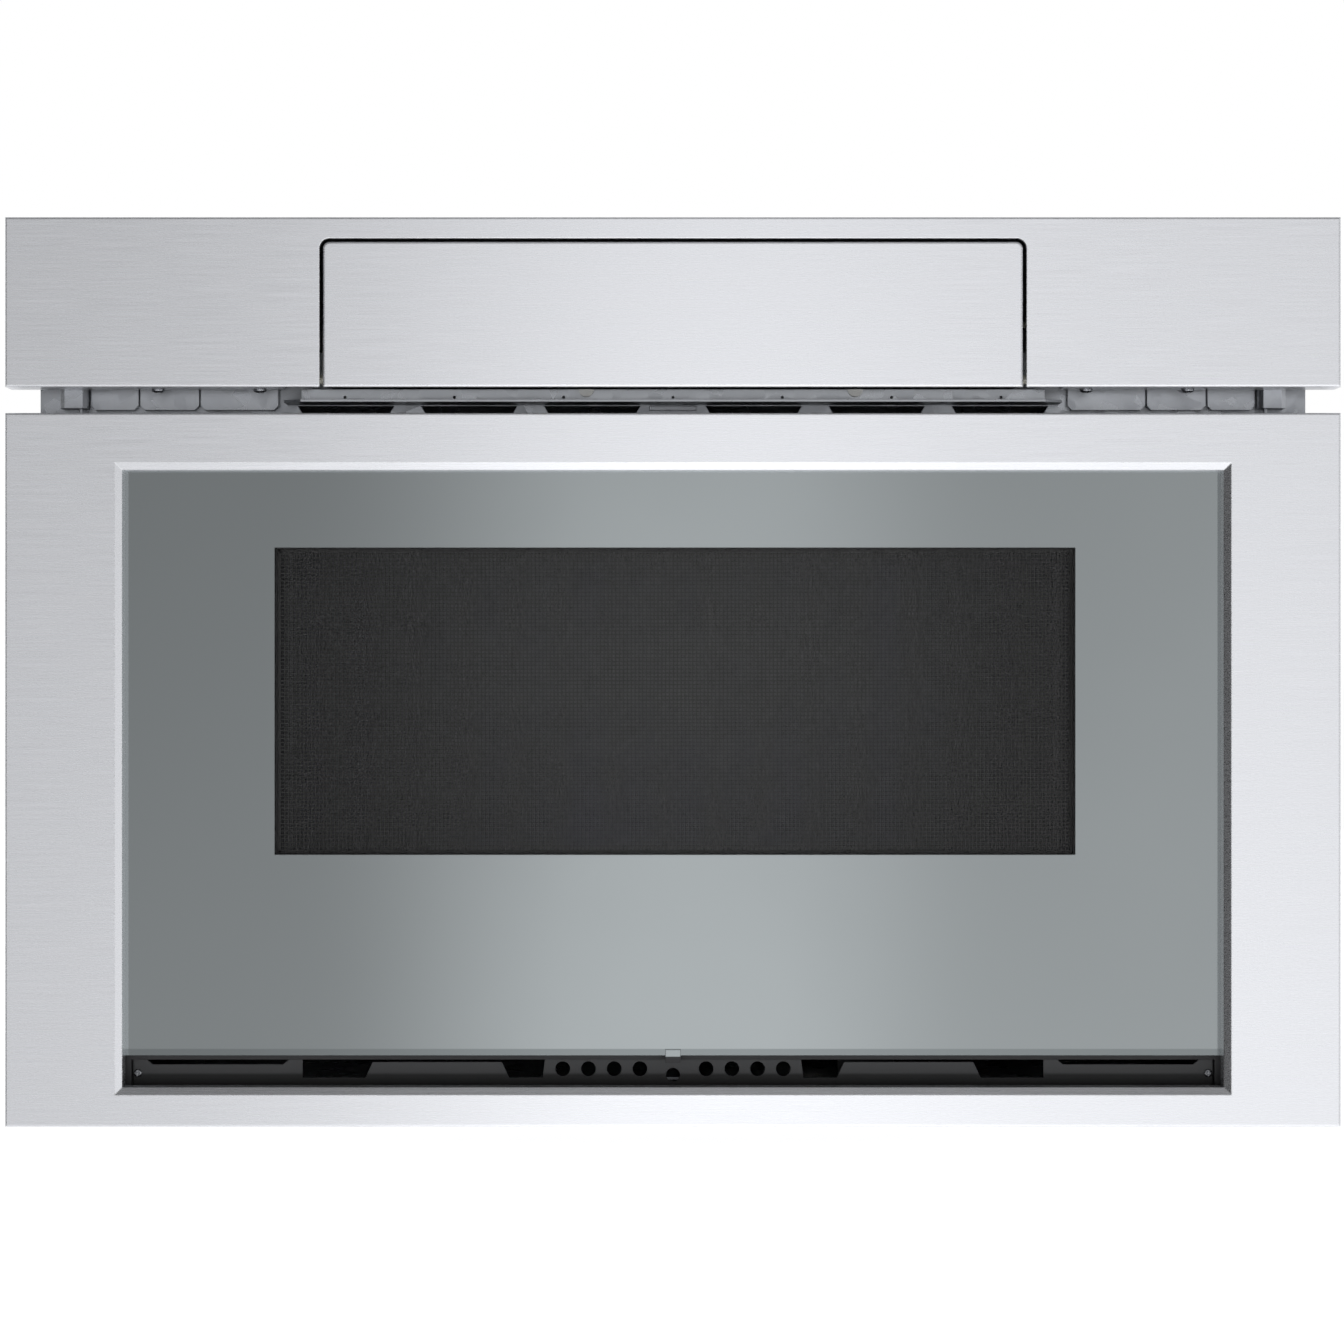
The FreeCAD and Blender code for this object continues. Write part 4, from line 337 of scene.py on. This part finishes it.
def coated_glass(name, coat, clear, low, high, blur=0.0004, window_alpha=0.22):
    """A pane with a mirror coating that leaves the window between low and high clear."""
    material, tree, shader = finish(name, IOR=1.52, Roughness=0.06)
    window = inside_box(tree, low, high, blur)
    cloud = speckle(tree, (6.0, 6.0, 6.0), detail=3.0)
    # A cloudy darker tone in the coating: a painted reflection of the room.
    tone = blend_colour(tree, between(tree, cloud, 0.0, 0.25), coat, shade(coat, 0.8))
    tree.links.new(blend_colour(tree, window, tone, clear), shader.inputs["Base Color"])
    tree.links.new(between(tree, window, 1.0, 0.0, 0.0, 1.0), shader.inputs["Metallic"])
    tree.links.new(between(tree, window, 1.0, window_alpha, 0.0, 1.0), shader.inputs["Alpha"])
    tree.links.new(between(tree, cloud, 0.05, 0.09), shader.inputs["Roughness"])
    rounded = soft_edges(tree, pane_radius)
    tree.links.new(relief(tree, cloud, 1e-6, rounded), shader.inputs["Normal"])
    return material


def clear_glass(name, tint, alpha, roughness=0.05):
    """A thin clear pane: mostly see-through, with faint smears in its gloss."""
    material, tree, shader = finish(name, IOR=1.5, Metallic=0.0)
    smear = speckle(tree, (35.0, 12.0, 90.0), detail=5.0)
    rounded = soft_edges(tree, pane_radius)
    edge_band = edge_mask(tree, rounded)
    tree.links.new(blend_colour(tree, edge_band, tint, rgb(150, 175, 168)), shader.inputs["Base Color"])
    solid = between(tree, edge_band, alpha, min(1.0, alpha + 0.4), 0.0, 1.0)
    tree.links.new(solid, shader.inputs["Alpha"])
    rough = between(tree, smear, roughness * 0.7, roughness * 1.8)
    tree.links.new(rough, shader.inputs["Roughness"])
    tree.links.new(relief(tree, smear, 1e-6, rounded), shader.inputs["Normal"])
    return material


screen_low, screen_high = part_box("window_screen")
window_margin = Vector((0.0013, 0.0, 0.0007))
print("window:", [round(v, 4) for v in (*screen_low, *screen_high)])

# %% [markdown]
# ## One finish for each slot of the model
#
# The CAD record names a material slot for each of its nodes. We keep those names and make one
# finish for each slot, so a recolour of the object touches one line. The metals come first. The
# front is the brightest; the rails' grain runs along their length, as they are drawn through a die;
# and the tub's is coarser, as in plain rolled sheet.

# %% Metal finishes
finishes = {
    "front_stainless": brushed("front_stainless", rgb(241, 242, 246), 0.27,
                               grain=(26.0, 700.0, 2600.0), edge=0.0007, spread=0.9, metal=0.87),
    "tub_steel": brushed("tub_steel", rgb(205, 206, 208), 0.33,
                         grain=(60.0, 60.0, 900.0), depth=2e-6),
    "rail_steel": brushed("rail_steel", rgb(188, 190, 194), 0.28,
                          grain=(900.0, 14.0, 900.0), depth=2e-6),
    "stirrer_aluminium": brushed("stirrer_aluminium", rgb(216, 217, 219), 0.34,
                                 grain=(40.0, 700.0, 700.0)),
    "zinc_steel": galvanised("zinc_steel", rgb(192, 195, 200), 0.34),
    "core_steel": striped("core_steel", rgb(96, 94, 92), rgb(38, 37, 36), 1, 2000.0, 0.45,
                          metal=0.6),
    "winding_copper": striped("winding_copper", rgb(182, 104, 56), rgb(70, 32, 16), 2, 1100.0, 0.28,
                              metal=0.8),
}
print("metal finishes:", len(finishes))

# %% [markdown]
# ## Moulded and painted slots
#
# Housings and motors are dark, gears and buffers pale, and the switch plungers red, as a safety
# switch's often are. Small working parts come from smoother moulds, so their relief is shallow. The
# air grille under the glass carries painted light and shade: a mask gives a level band a paler
# colour as its painted lit face, and the rest stays nearly black as painted shade of the recess; a
# piece of its own would only copy the same sheet.

# %% Moulded and painted finishes
smooth_mould = dict(grain=900.0, depth=3e-6)
grille_lit_band = dict(low=(-0.3, 0.0, 0.0036), high=(0.3, 0.0, 0.0140), blur=0.0012)
finishes.update({
    "frame_moulding": moulded("frame_moulding", rgb(58, 58, 60), 0.52),
    "choke_moulding": moulded("choke_moulding", rgb(92, 93, 96), 0.50),
    "buffer_moulding": moulded("buffer_moulding", rgb(205, 205, 203), 0.45, shine=1.1),
    "gear_moulding": moulded("gear_moulding", rgb(232, 229, 216), 0.36, shine=1.08, **smooth_mould),
    "switch_moulding": moulded("switch_moulding", rgb(46, 46, 49), 0.30, **smooth_mould),
    "plunger_red": moulded("plunger_red", rgb(176, 32, 26), 0.32, shine=1.2, **smooth_mould),
    "fan_moulding": moulded("fan_moulding", rgb(74, 75, 78), 0.46),
    "motor_black": moulded("motor_black", rgb(40, 40, 42), 0.35, grain=2600.0, depth=5e-6, shine=2.4),
    "screen_black": moulded("screen_black", rgb(58, 58, 58), 0.45, grain=2600.0, depth=3e-6),
    "board_green": moulded("board_green", rgb(24, 92, 52), 0.26, grain=420.0, depth=2e-5, shine=1.3),
    # The grille: nearly black as painted shade of its recess, with a paler band as its painted lit
    # face.
    "grille_painted_shade": masked(moulded("grille_painted_shade", rgb(14, 14, 15), 0.42, grain=1800.0, depth=4e-6,
                                   shine=1.8),
                           colour=rgb(72, 73, 75), roughness=0.35, **grille_lit_band),
    "key_print": moulded("key_print", rgb(196, 198, 200), 0.5, grain=2600.0, depth=1e-6, shine=1.1),
})
print("finishes so far:", len(finishes))

# %% [markdown]
# ## Glass slots, and every node dressed
#
# The front glass is darker in a band along its foot, and the small clip that holds it there shines
# although it is one with the dark frame. Both are masks on a finish, with limits taken from the
# box of the glass. Then each node of the model gets the finish of its slot. The air grille is the
# one exception: its slot is zinc steel, like the chassis, but it is dressed nearly black, as
# painted shade of its recess under the glass.

# %% Glass finishes and dressing the nodes
finishes.update({
    "tray_ceramic": clear_glass("tray_ceramic", rgb(232, 232, 226), 1.0, 0.12),
    "inner_glass": clear_glass("inner_glass", rgb(70, 80, 78), 0.12),
    "lamp_glass": clear_glass("lamp_glass", rgb(224, 222, 210), 0.35),
    "control_glass": clear_glass("control_glass", rgb(10, 10, 12), 1.0, 0.05),
    "front_glass": coated_glass("front_glass", rgb(144, 149, 150), rgb(6, 7, 7),
                                screen_low - window_margin, screen_high + window_margin),
})
glass_low, glass_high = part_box("front_glass")
clip_half = 0.0036
clip_low, clip_high = glass_low.z - 0.0006, glass_low.z + 0.0040
masked(finishes["frame_moulding"], (-clip_half, 0.0, clip_low), (clip_half, 0.0, clip_high),
       blur=0.0003, colour=rgb(138, 143, 144), roughness=0.10, metal=1.0)
past_glass = 0.01
band_top = glass_low.z + 0.0032
masked(finishes["front_glass"], (glass_low.x - past_glass, 0.0, glass_low.z - past_glass),
       (glass_high.x + past_glass, 0.0, band_top),
       blur=0.0004, colour=rgb(122, 127, 128), roughness=0.12)
slot_of = {row["node"]: row["material_slot"] for row in frame["record"]["subparts"]}
look_of = dict(slot_of, lower_air_grille="grille_painted_shade")
for name, node in nodes.items():
    node.data.materials.clear()
    node.data.materials.append(finishes[look_of[name]])
print("finishes:", len(finishes), "on", len(nodes), "nodes")

# %% [markdown]
# ## New pieces from formulas
#
# A new piece is a grid of points given by a formula of two parameters, worked out for all points at
# once with numpy. Two helpers make a mesh of such a grid and hang it on its CAD body.

# %% Mesh helpers
def mesh_piece(name, points, faces, slot, body, smooth=True, look=None):
    """A mesh piece on a CAD body, from points and faces, with its slot's finish or another look."""
    mesh = bpy.data.meshes.new(name)
    mesh.from_pydata(np.asarray(points, float).tolist(), [], np.asarray(faces).tolist())
    mesh.polygons.foreach_set("use_smooth", np.full(len(mesh.polygons), smooth))
    mesh.materials.append(finishes[look or slot])
    mesh.update()
    piece = bpy.data.objects.new(name, mesh)
    bpy.context.scene.collection.objects.link(piece)
    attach(piece, body)
    return piece


def strips(lows, highs):
    """Many thin boxes at once: each has eight corners, picked from its low and high point."""
    lows, highs = np.asarray(lows, float), np.asarray(highs, float)
    pick = np.array([[i & 1, i >> 1 & 1, i >> 2 & 1] for i in range(8)])
    points = np.where(pick[None], highs[:, None], lows[:, None]).reshape(-1, 3)
    quads = np.array([[0, 2, 3, 1], [4, 5, 7, 6], [0, 1, 5, 4],
                      [2, 6, 7, 3], [0, 4, 6, 2], [1, 3, 7, 5]])
    faces = (np.arange(len(lows))[:, None, None] * 8 + quads).reshape(-1, 4)
    return points, faces


print("mesh helpers ready")

# %% [markdown]
# ## The window screen
#
# The screen that keeps the microwaves in is a thin black sheet, etched through with a square hole
# every 1.8 mm. Sixteen thousand holes would be a heavy cut, so we build what is left instead: level
# and upright strips that cross, and a plain border. Each strip is a box of twelve triangles. The
# level strips are a hair thinner than the upright ones, so no two faces lie in one plane.

# %% Build the screen
def spots(x, y, z):
    """Points from three coordinates, each one number or an array of the same length."""
    return np.stack(np.broadcast_arrays(x, y, z), 1)


hole_pitch = 0.00176
half_web = 0.00060 / 2
border = 0.0015
thin = 0.00005
low_x, front_y, low_z = screen_low
high_x, back_y, high_z = screen_high
columns = np.arange(low_x + border + hole_pitch, high_x - border, hole_pitch)
rows = np.arange(low_z + border + hole_pitch, high_z - border, hole_pitch)
lows = [spots(columns - half_web, front_y + thin, low_z),
        spots(low_x, front_y + 2 * thin, rows - half_web),
        [(low_x, front_y, low_z), (high_x - border, front_y, low_z),
         (low_x, front_y, low_z), (low_x, front_y, high_z - border)]]
highs = [spots(columns + half_web, back_y - thin, high_z),
         spots(high_x, back_y - 2 * thin, rows + half_web),
         [(low_x + border, back_y, high_z), (high_x, back_y, high_z),
          (high_x, back_y, low_z + border), (high_x, back_y, high_z)]]
points, faces = strips(np.concatenate(lows), np.concatenate(highs))
screen = mesh_piece("window_screen_mesh", points, faces, "screen_black", "drawer", smooth=False)
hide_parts("window_screen")
print("screen strips:", len(columns), "by", len(rows))

# %% [markdown]
# ## Screws
#
# A screw head is a flat dome whose height also drops inside the two bars of a cross. Its points are
# laid out as rings, and one helper joins any such grid with quads. The heads could be cut with
# booleans, but a formula keeps every head at a few hundred faces and its cross exactly where it
# belongs.

# %% A screw head
def grid_faces(rows, columns):
    """Quads of a closed band of points, numbered row by row; the last column joins the first."""
    row, column = np.meshgrid(np.arange(rows - 1), np.arange(columns), indexing="ij")
    after = (column + 1) % columns
    quads = [row * columns + column, row * columns + after, (row + 1) * columns + after,
             (row + 1) * columns + column]
    return np.stack(quads, -1).reshape(-1, 4)


def many(points, faces, places, across, up, outward):
    """Copies a shape to many places, with its own axes turned to across, up and outward."""
    turned = points @ np.array([across, up, outward], float)
    all_points = (np.asarray(places, float)[:, None] + turned[None]).reshape(-1, 3)
    all_faces = (np.arange(len(places))[:, None, None] * len(points) + faces).reshape(-1, 4)
    return all_points, all_faces


def screw_head(radius, height):
    """A cross-recess head. At the share s of the radius its height is height * (1 - 0.5 * s ** 3).
    Inside the cross it is 0.6 * height less: there the smaller of |x| and |y| is under 0.13 of the
    radius and the larger under 0.52, and a slope 0.06 wide leads down. The last two rows go down
    the rim and back to the middle."""
    cross_width, cross_reach, slope, cross_depth = 0.19, 0.58, 0.06, 0.6
    share = np.array([0.01, 0.12, 0.22, 0.34, 0.46, 0.52, 0.58, 0.72, 0.88, 0.97, 1.0])
    angle = np.linspace(0, 2 * math.pi, 32, endpoint=False)
    s, a = np.meshgrid(share, angle, indexing="ij")
    x, y = s * np.cos(a), s * np.sin(a)
    narrow, wide = np.minimum(abs(x), abs(y)), np.maximum(abs(x), abs(y))
    in_cross = (np.clip((cross_width - narrow) / slope, 0, 1)
                * np.clip((cross_reach - wide) / slope, 0, 1))
    z = height * (1 - 0.5 * s ** 3) - cross_depth * height * in_cross
    top = np.stack([radius * x, radius * y, z], -1)
    rim, middle = top[-1].copy(), top[0].copy()
    rim[:, 2] = 0.0
    middle[:, 2] = 0.0
    points = np.concatenate([top, rim[None], middle[None]]).reshape(-1, 3)
    return points, grid_faces(len(share) + 2, len(angle))


def fasten(name, places, across, up, radius, height, body):
    """Screw heads at the places, looking along across x up."""
    points, faces = screw_head(radius, height)
    points, faces = many(points, faces, places, across, up, np.cross(across, up))
    return mesh_piece(name, points, faces, "rail_steel", body)


print("a head has", len(screw_head(1.0, 1.0)[1]), "faces")

# %% [markdown]
# ## Where the screws sit
#
# Heads sit where sheets meet: on the cover, under the fascia, behind the drawer front, on the rail
# brackets and at the ends of the air grille. Each row of places starts from the box of its CAD
# node, so a head lies flush on its sheet; the few fixed distances are named first.

# %% Fasten the sheets
X, Y, Z = np.eye(3)
sides = (-1, 1)
large, medium, small = (0.0036, 0.0022), (0.0030, 0.0018), (0.0018, 0.0011)
bracket_head = (0.0034, 0.0020)
edge_inset, row_inset, bracket_inset, grille_inset = 0.012, 0.030, 0.020, 0.0022
fascia_x, fascia_back = (0.1889, 0.2354), 0.005
door_z, bracket_z, grille_z = (0.03, 0.15, 0.27), (0.018, 0.048), 0.0045

cover_low, cover_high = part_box("top_cover")
cover_x = cover_high.x - edge_inset
cover_y = np.linspace(cover_low.y + row_inset, cover_high.y - row_inset, 3)
places = [(side * cover_x, y, cover_high.z) for side in sides for y in cover_y]
fasten("cover_screws", places, X, Y, *large, "chassis")

fascia_low, fascia_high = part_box("control_fascia")
fold_y = (fascia_low.y + fascia_high.y) / 2 + fascia_back
places = [(side * x, fold_y, fascia_low.z) for side in sides for x in fascia_x]
fasten("fascia_screws", places, Y, X, *medium, "chassis")

door_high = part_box("door_frame")[1]
places = [(side * (door_high.x - edge_inset), door_high.y, z) for side in sides for z in door_z]
fasten("door_screws", places, Z, X, *large, "drawer")

grille_low, grille_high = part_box("lower_air_grille")
places = [(side * (grille_high.x - grille_inset), grille_low.y, grille_z) for side in sides]
fasten("grille_screws", places, X, Z, *small, "drawer")

side_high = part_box("side_panels")[1]
bracket_low, bracket_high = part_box("rail_brackets")
bracket_y = np.linspace(bracket_low.y + bracket_inset, bracket_high.y - bracket_inset, 4)
for side, label in zip(sides, ("left", "right")):
    places = [(side * side_high.x, y, z) for y in bracket_y for z in bracket_z]
    fasten("bracket_screws_" + label, places, side * Y, Z, *bracket_head, "chassis")
print("screw heads placed")

# %% [markdown]
# ## Touch keys
#
# The glass of the hidden control panel carries printed key rings, seen when the panel tilts out. A
# ring is a narrow band between two rounded squares; the rounding comes from a superellipse, whose
# corner is rounder the smaller its power is.

# %% Print the keys
print_height = 0.00005
print_gap = 0.00002


def key_ring(half_x, half_y, line):
    """A printed ring: |x / half_x| ** 5 + |y / half_y| ** 5 = 1, and once more a line inside."""
    angle = np.linspace(0, 2 * math.pi, 40, endpoint=False)
    cosine, sine = np.cos(angle), np.sin(angle)
    reach = (abs(cosine) ** 5 + abs(sine) ** 5) ** -0.2
    rows = [np.stack([reach * cosine * (half_x - inset), reach * sine * (half_y - inset),
                      np.full_like(angle, lift)], -1)
            for inset, lift in ((0, 0), (0, print_height), (line, print_height), (line, 0))]
    return np.concatenate(rows), grid_faces(4, len(angle))


def print_rings(name, ring, places):
    """Copies of a ring, lying on the control glass."""
    points, faces = many(*ring, places, X, Y, Z)
    mesh_piece(name, points, faces, "control_glass", "control_flap", smooth=False, look="key_print")


panel_low, panel_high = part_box("control_glass")
panel_y, print_z = (panel_low.y + panel_high.y) / 2, panel_high.z + print_gap
row_offset, first_key, keys_end, key_step = 0.0065, -0.140, -0.045, 0.0155
key_half, key_line = (0.0062, 0.0050), 0.00045
display_half, display_line = (0.034, 0.0105), 0.0005
left_keys = np.arange(first_key, keys_end, key_step)
key_x = np.concatenate([left_keys, -left_keys[::-1]])
key_places = [(x, y, print_z) for x in key_x for y in (panel_y - row_offset, panel_y + row_offset)]
print_rings("key_rings", key_ring(*key_half, key_line), key_places)
print_rings("display_ring", key_ring(*display_half, display_line), [(0, panel_y, print_z)])
print("keys:", len(key_places))

# %% [markdown]
# ## The sky
#
# The studio's sky is white to the camera but lights the object unevenly. A steel front shows
# nothing but its surroundings, so its shades are drawn in this sky: one curve runs from left to
# right and has the bright band behind the camera that the glass mirrors, and another runs from
# below, where the floor is bright, up to a darker ceiling. The slopes of the picture frame turn to
# the sides, so they pick the outer parts of both curves. The half of the sky behind the object
# lights only its top and back, and is plain. Lamps could do the same, but each would leave its own
# edge in the mirror of the glass.

# %% Sky helpers
def curve(tree, factor, stops, kind):
    """A curve through stops of (place from -1 to 1, level): straight pieces, or eased ones."""
    share = between(tree, factor, 0.0, 1.0, -1.0, 1.0)
    made = wire(tree, "ValToRGB", {0: share})
    made.color_ramp.interpolation = kind
    elements = made.color_ramp.elements
    elements[0].position = 0.0
    elements[1].position = 1.0
    for place, level in stops[1:-1]:
        elements.new((place + 1) / 2)
    for element, (place, level) in zip(elements, stops):
        element.color = (level, level, level, 1.0)
    return made.outputs["Color"]


def product(tree, first, second):
    """One Math node that multiplies."""
    return wire(tree, "Math", {0: first, 1: second}, operation="MULTIPLY").outputs[0]


print("sky helpers ready")

# %% [markdown]
# ## Draw the two curves
#
# The stops below were found by rendering and comparing: each place is the sine of the angle from
# straight ahead, and each level the brightness there. Left and right differ, as they do in a studio
# with its largest lamp on one side. The camera itself sees plain white instead.

# %% Draw the sky
front_level, rear_level, rear_blend = 2.9, 0.85, 0.35
cool_white = (0.985, 0.99, 1.0, 1.0)
white = (1.0, 1.0, 1.0, 1.0)
left_to_right = [(-1.0, 0.0), (-0.80, 0.0), (-0.60, 0.40), (-0.14, 0.40), (-0.08, 0.42),
                 (-0.01, 0.85), (0.02, 0.87), (0.07, 0.62), (0.14, 0.66), (0.24, 0.48),
                 (0.45, 0.38), (0.68, 0.38), (0.82, 0.56), (1.0, 0.56)]
below_to_above = [(-1.0, 0.62), (-0.72, 0.64), (-0.42, 1.0), (0.34, 0.14), (1.0, 0.12)]

world = bpy.data.worlds.new("studio")
bpy.context.scene.world = world
world.use_nodes = True
sky = world.node_tree
sky.nodes.clear()
axes = wire(sky, "SeparateXYZ", {"Vector": wire(sky, "TexCoord").outputs["Generated"]})
across = curve(sky, axes.outputs["X"], left_to_right, "EASE")
upward = curve(sky, axes.outputs["Z"], below_to_above, "LINEAR")
front = product(sky, product(sky, across, upward), front_level)
behind = between(sky, axes.outputs["Y"], 0.0, 1.0, 0.0, rear_blend)
level = wire(sky, "Mix", {0: behind, 2: front, 3: rear_level}).outputs[0]
lit = wire(sky, "Background", {"Color": cool_white, "Strength": level})
seen = wire(sky, "Background", {"Color": white, "Strength": 1.0})
eye = wire(sky, "LightPath").outputs["Is Camera Ray"]
both = wire(sky, "MixShader", {0: eye, 1: lit.outputs[0], 2: seen.outputs[0]})
wire(sky, "OutputWorld", {"Surface": both.outputs[0]})
print("sky curves:", len(left_to_right), "and", len(below_to_above), "stops")

# %% [markdown]
# ## Floor and shelf
#
# The floor is a large pale disc just under the drawer, bright enough by itself to meet the white
# background without a line. It is left out of mirror images, or its far rim would cross the glass.
# A thin pale board stands where a cabinet's shelf would carry the chassis. Without it the white
# background would show through the middle hole of the air grille.

# %% Floor and shelf
floor_glow = 0.88
floor_radius, floor_drop = 4.0, 0.0005
board_overhang, board_gap = 0.004, 0.0003

floor_material, floor_tree, floor_shader = finish("pale_floor", Roughness=0.7)
floor_shader.inputs["Emission Strength"].default_value = floor_glow
floor_shader.inputs["Emission Color"].default_value = white
grainy = between(floor_tree, speckle(floor_tree, (40.0, 40.0, 40.0), detail=4.0), 0.0, 1.0)
pale = blend_colour(floor_tree, grainy, rgb(226, 226, 226), rgb(232, 232, 231))
floor_tree.links.new(pale, floor_shader.inputs["Base Color"])


def plate_of(name, points, faces, material):
    """A stage piece from points and faces, left out of mirror images."""
    mesh = bpy.data.meshes.new(name)
    mesh.from_pydata(np.asarray(points, float).tolist(), [], np.asarray(faces).tolist())
    mesh.materials.append(material)
    piece = bpy.data.objects.new(name, mesh)
    piece.visible_glossy = False
    bpy.context.scene.collection.objects.link(piece)
    return piece


turn = np.linspace(0, 2 * math.pi, 96, endpoint=False)
ring = spots(floor_radius * np.cos(turn), floor_radius * np.sin(turn), cad_low.z - floor_drop)
plate_of("floor", ring, [list(range(len(ring)))], floor_material)
shelf_low, shelf_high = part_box("base_plate")
points, faces = strips([(shelf_low.x, shelf_low.y - board_overhang, cad_low.z)],
                       [(shelf_high.x, shelf_high.y, shelf_low.z - board_gap)])
board = moulded("shelf_board", rgb(222, 222, 220), 0.6, grain=500.0)
plate_of("shelf", points, faces, board).visible_glossy = True
print("floor and shelf placed")

# %% [markdown]
# ## The camera
#
# The photograph looks square at the front and shows little perspective, so the camera stands level
# before the middle of the drawer, with a long lens. A shorter lens from closer by would frame the
# front alike, but would look more steeply into the gap under the fascia than the photograph does.

# %% Stand the camera
eye_distance, eye_height, eye_side = 2.1, 0.1885, -0.00045
frame_width = 0.610
camera_data = bpy.data.cameras.new("camera")
camera_data.sensor_width = 36.0
camera_data.lens = camera_data.sensor_width * eye_distance / frame_width
camera_data.clip_start = 0.05
camera = bpy.data.objects.new("camera", camera_data)
camera.location = (eye_side, cad_low.y - eye_distance, eye_height)
camera.rotation_euler = (math.pi / 2, 0.0, 0.0)
bpy.context.scene.collection.objects.link(camera)
bpy.context.scene.camera = camera
bpy.context.scene.view_settings.view_transform = "Standard"
print("lens:", round(camera_data.lens, 2), "mm")
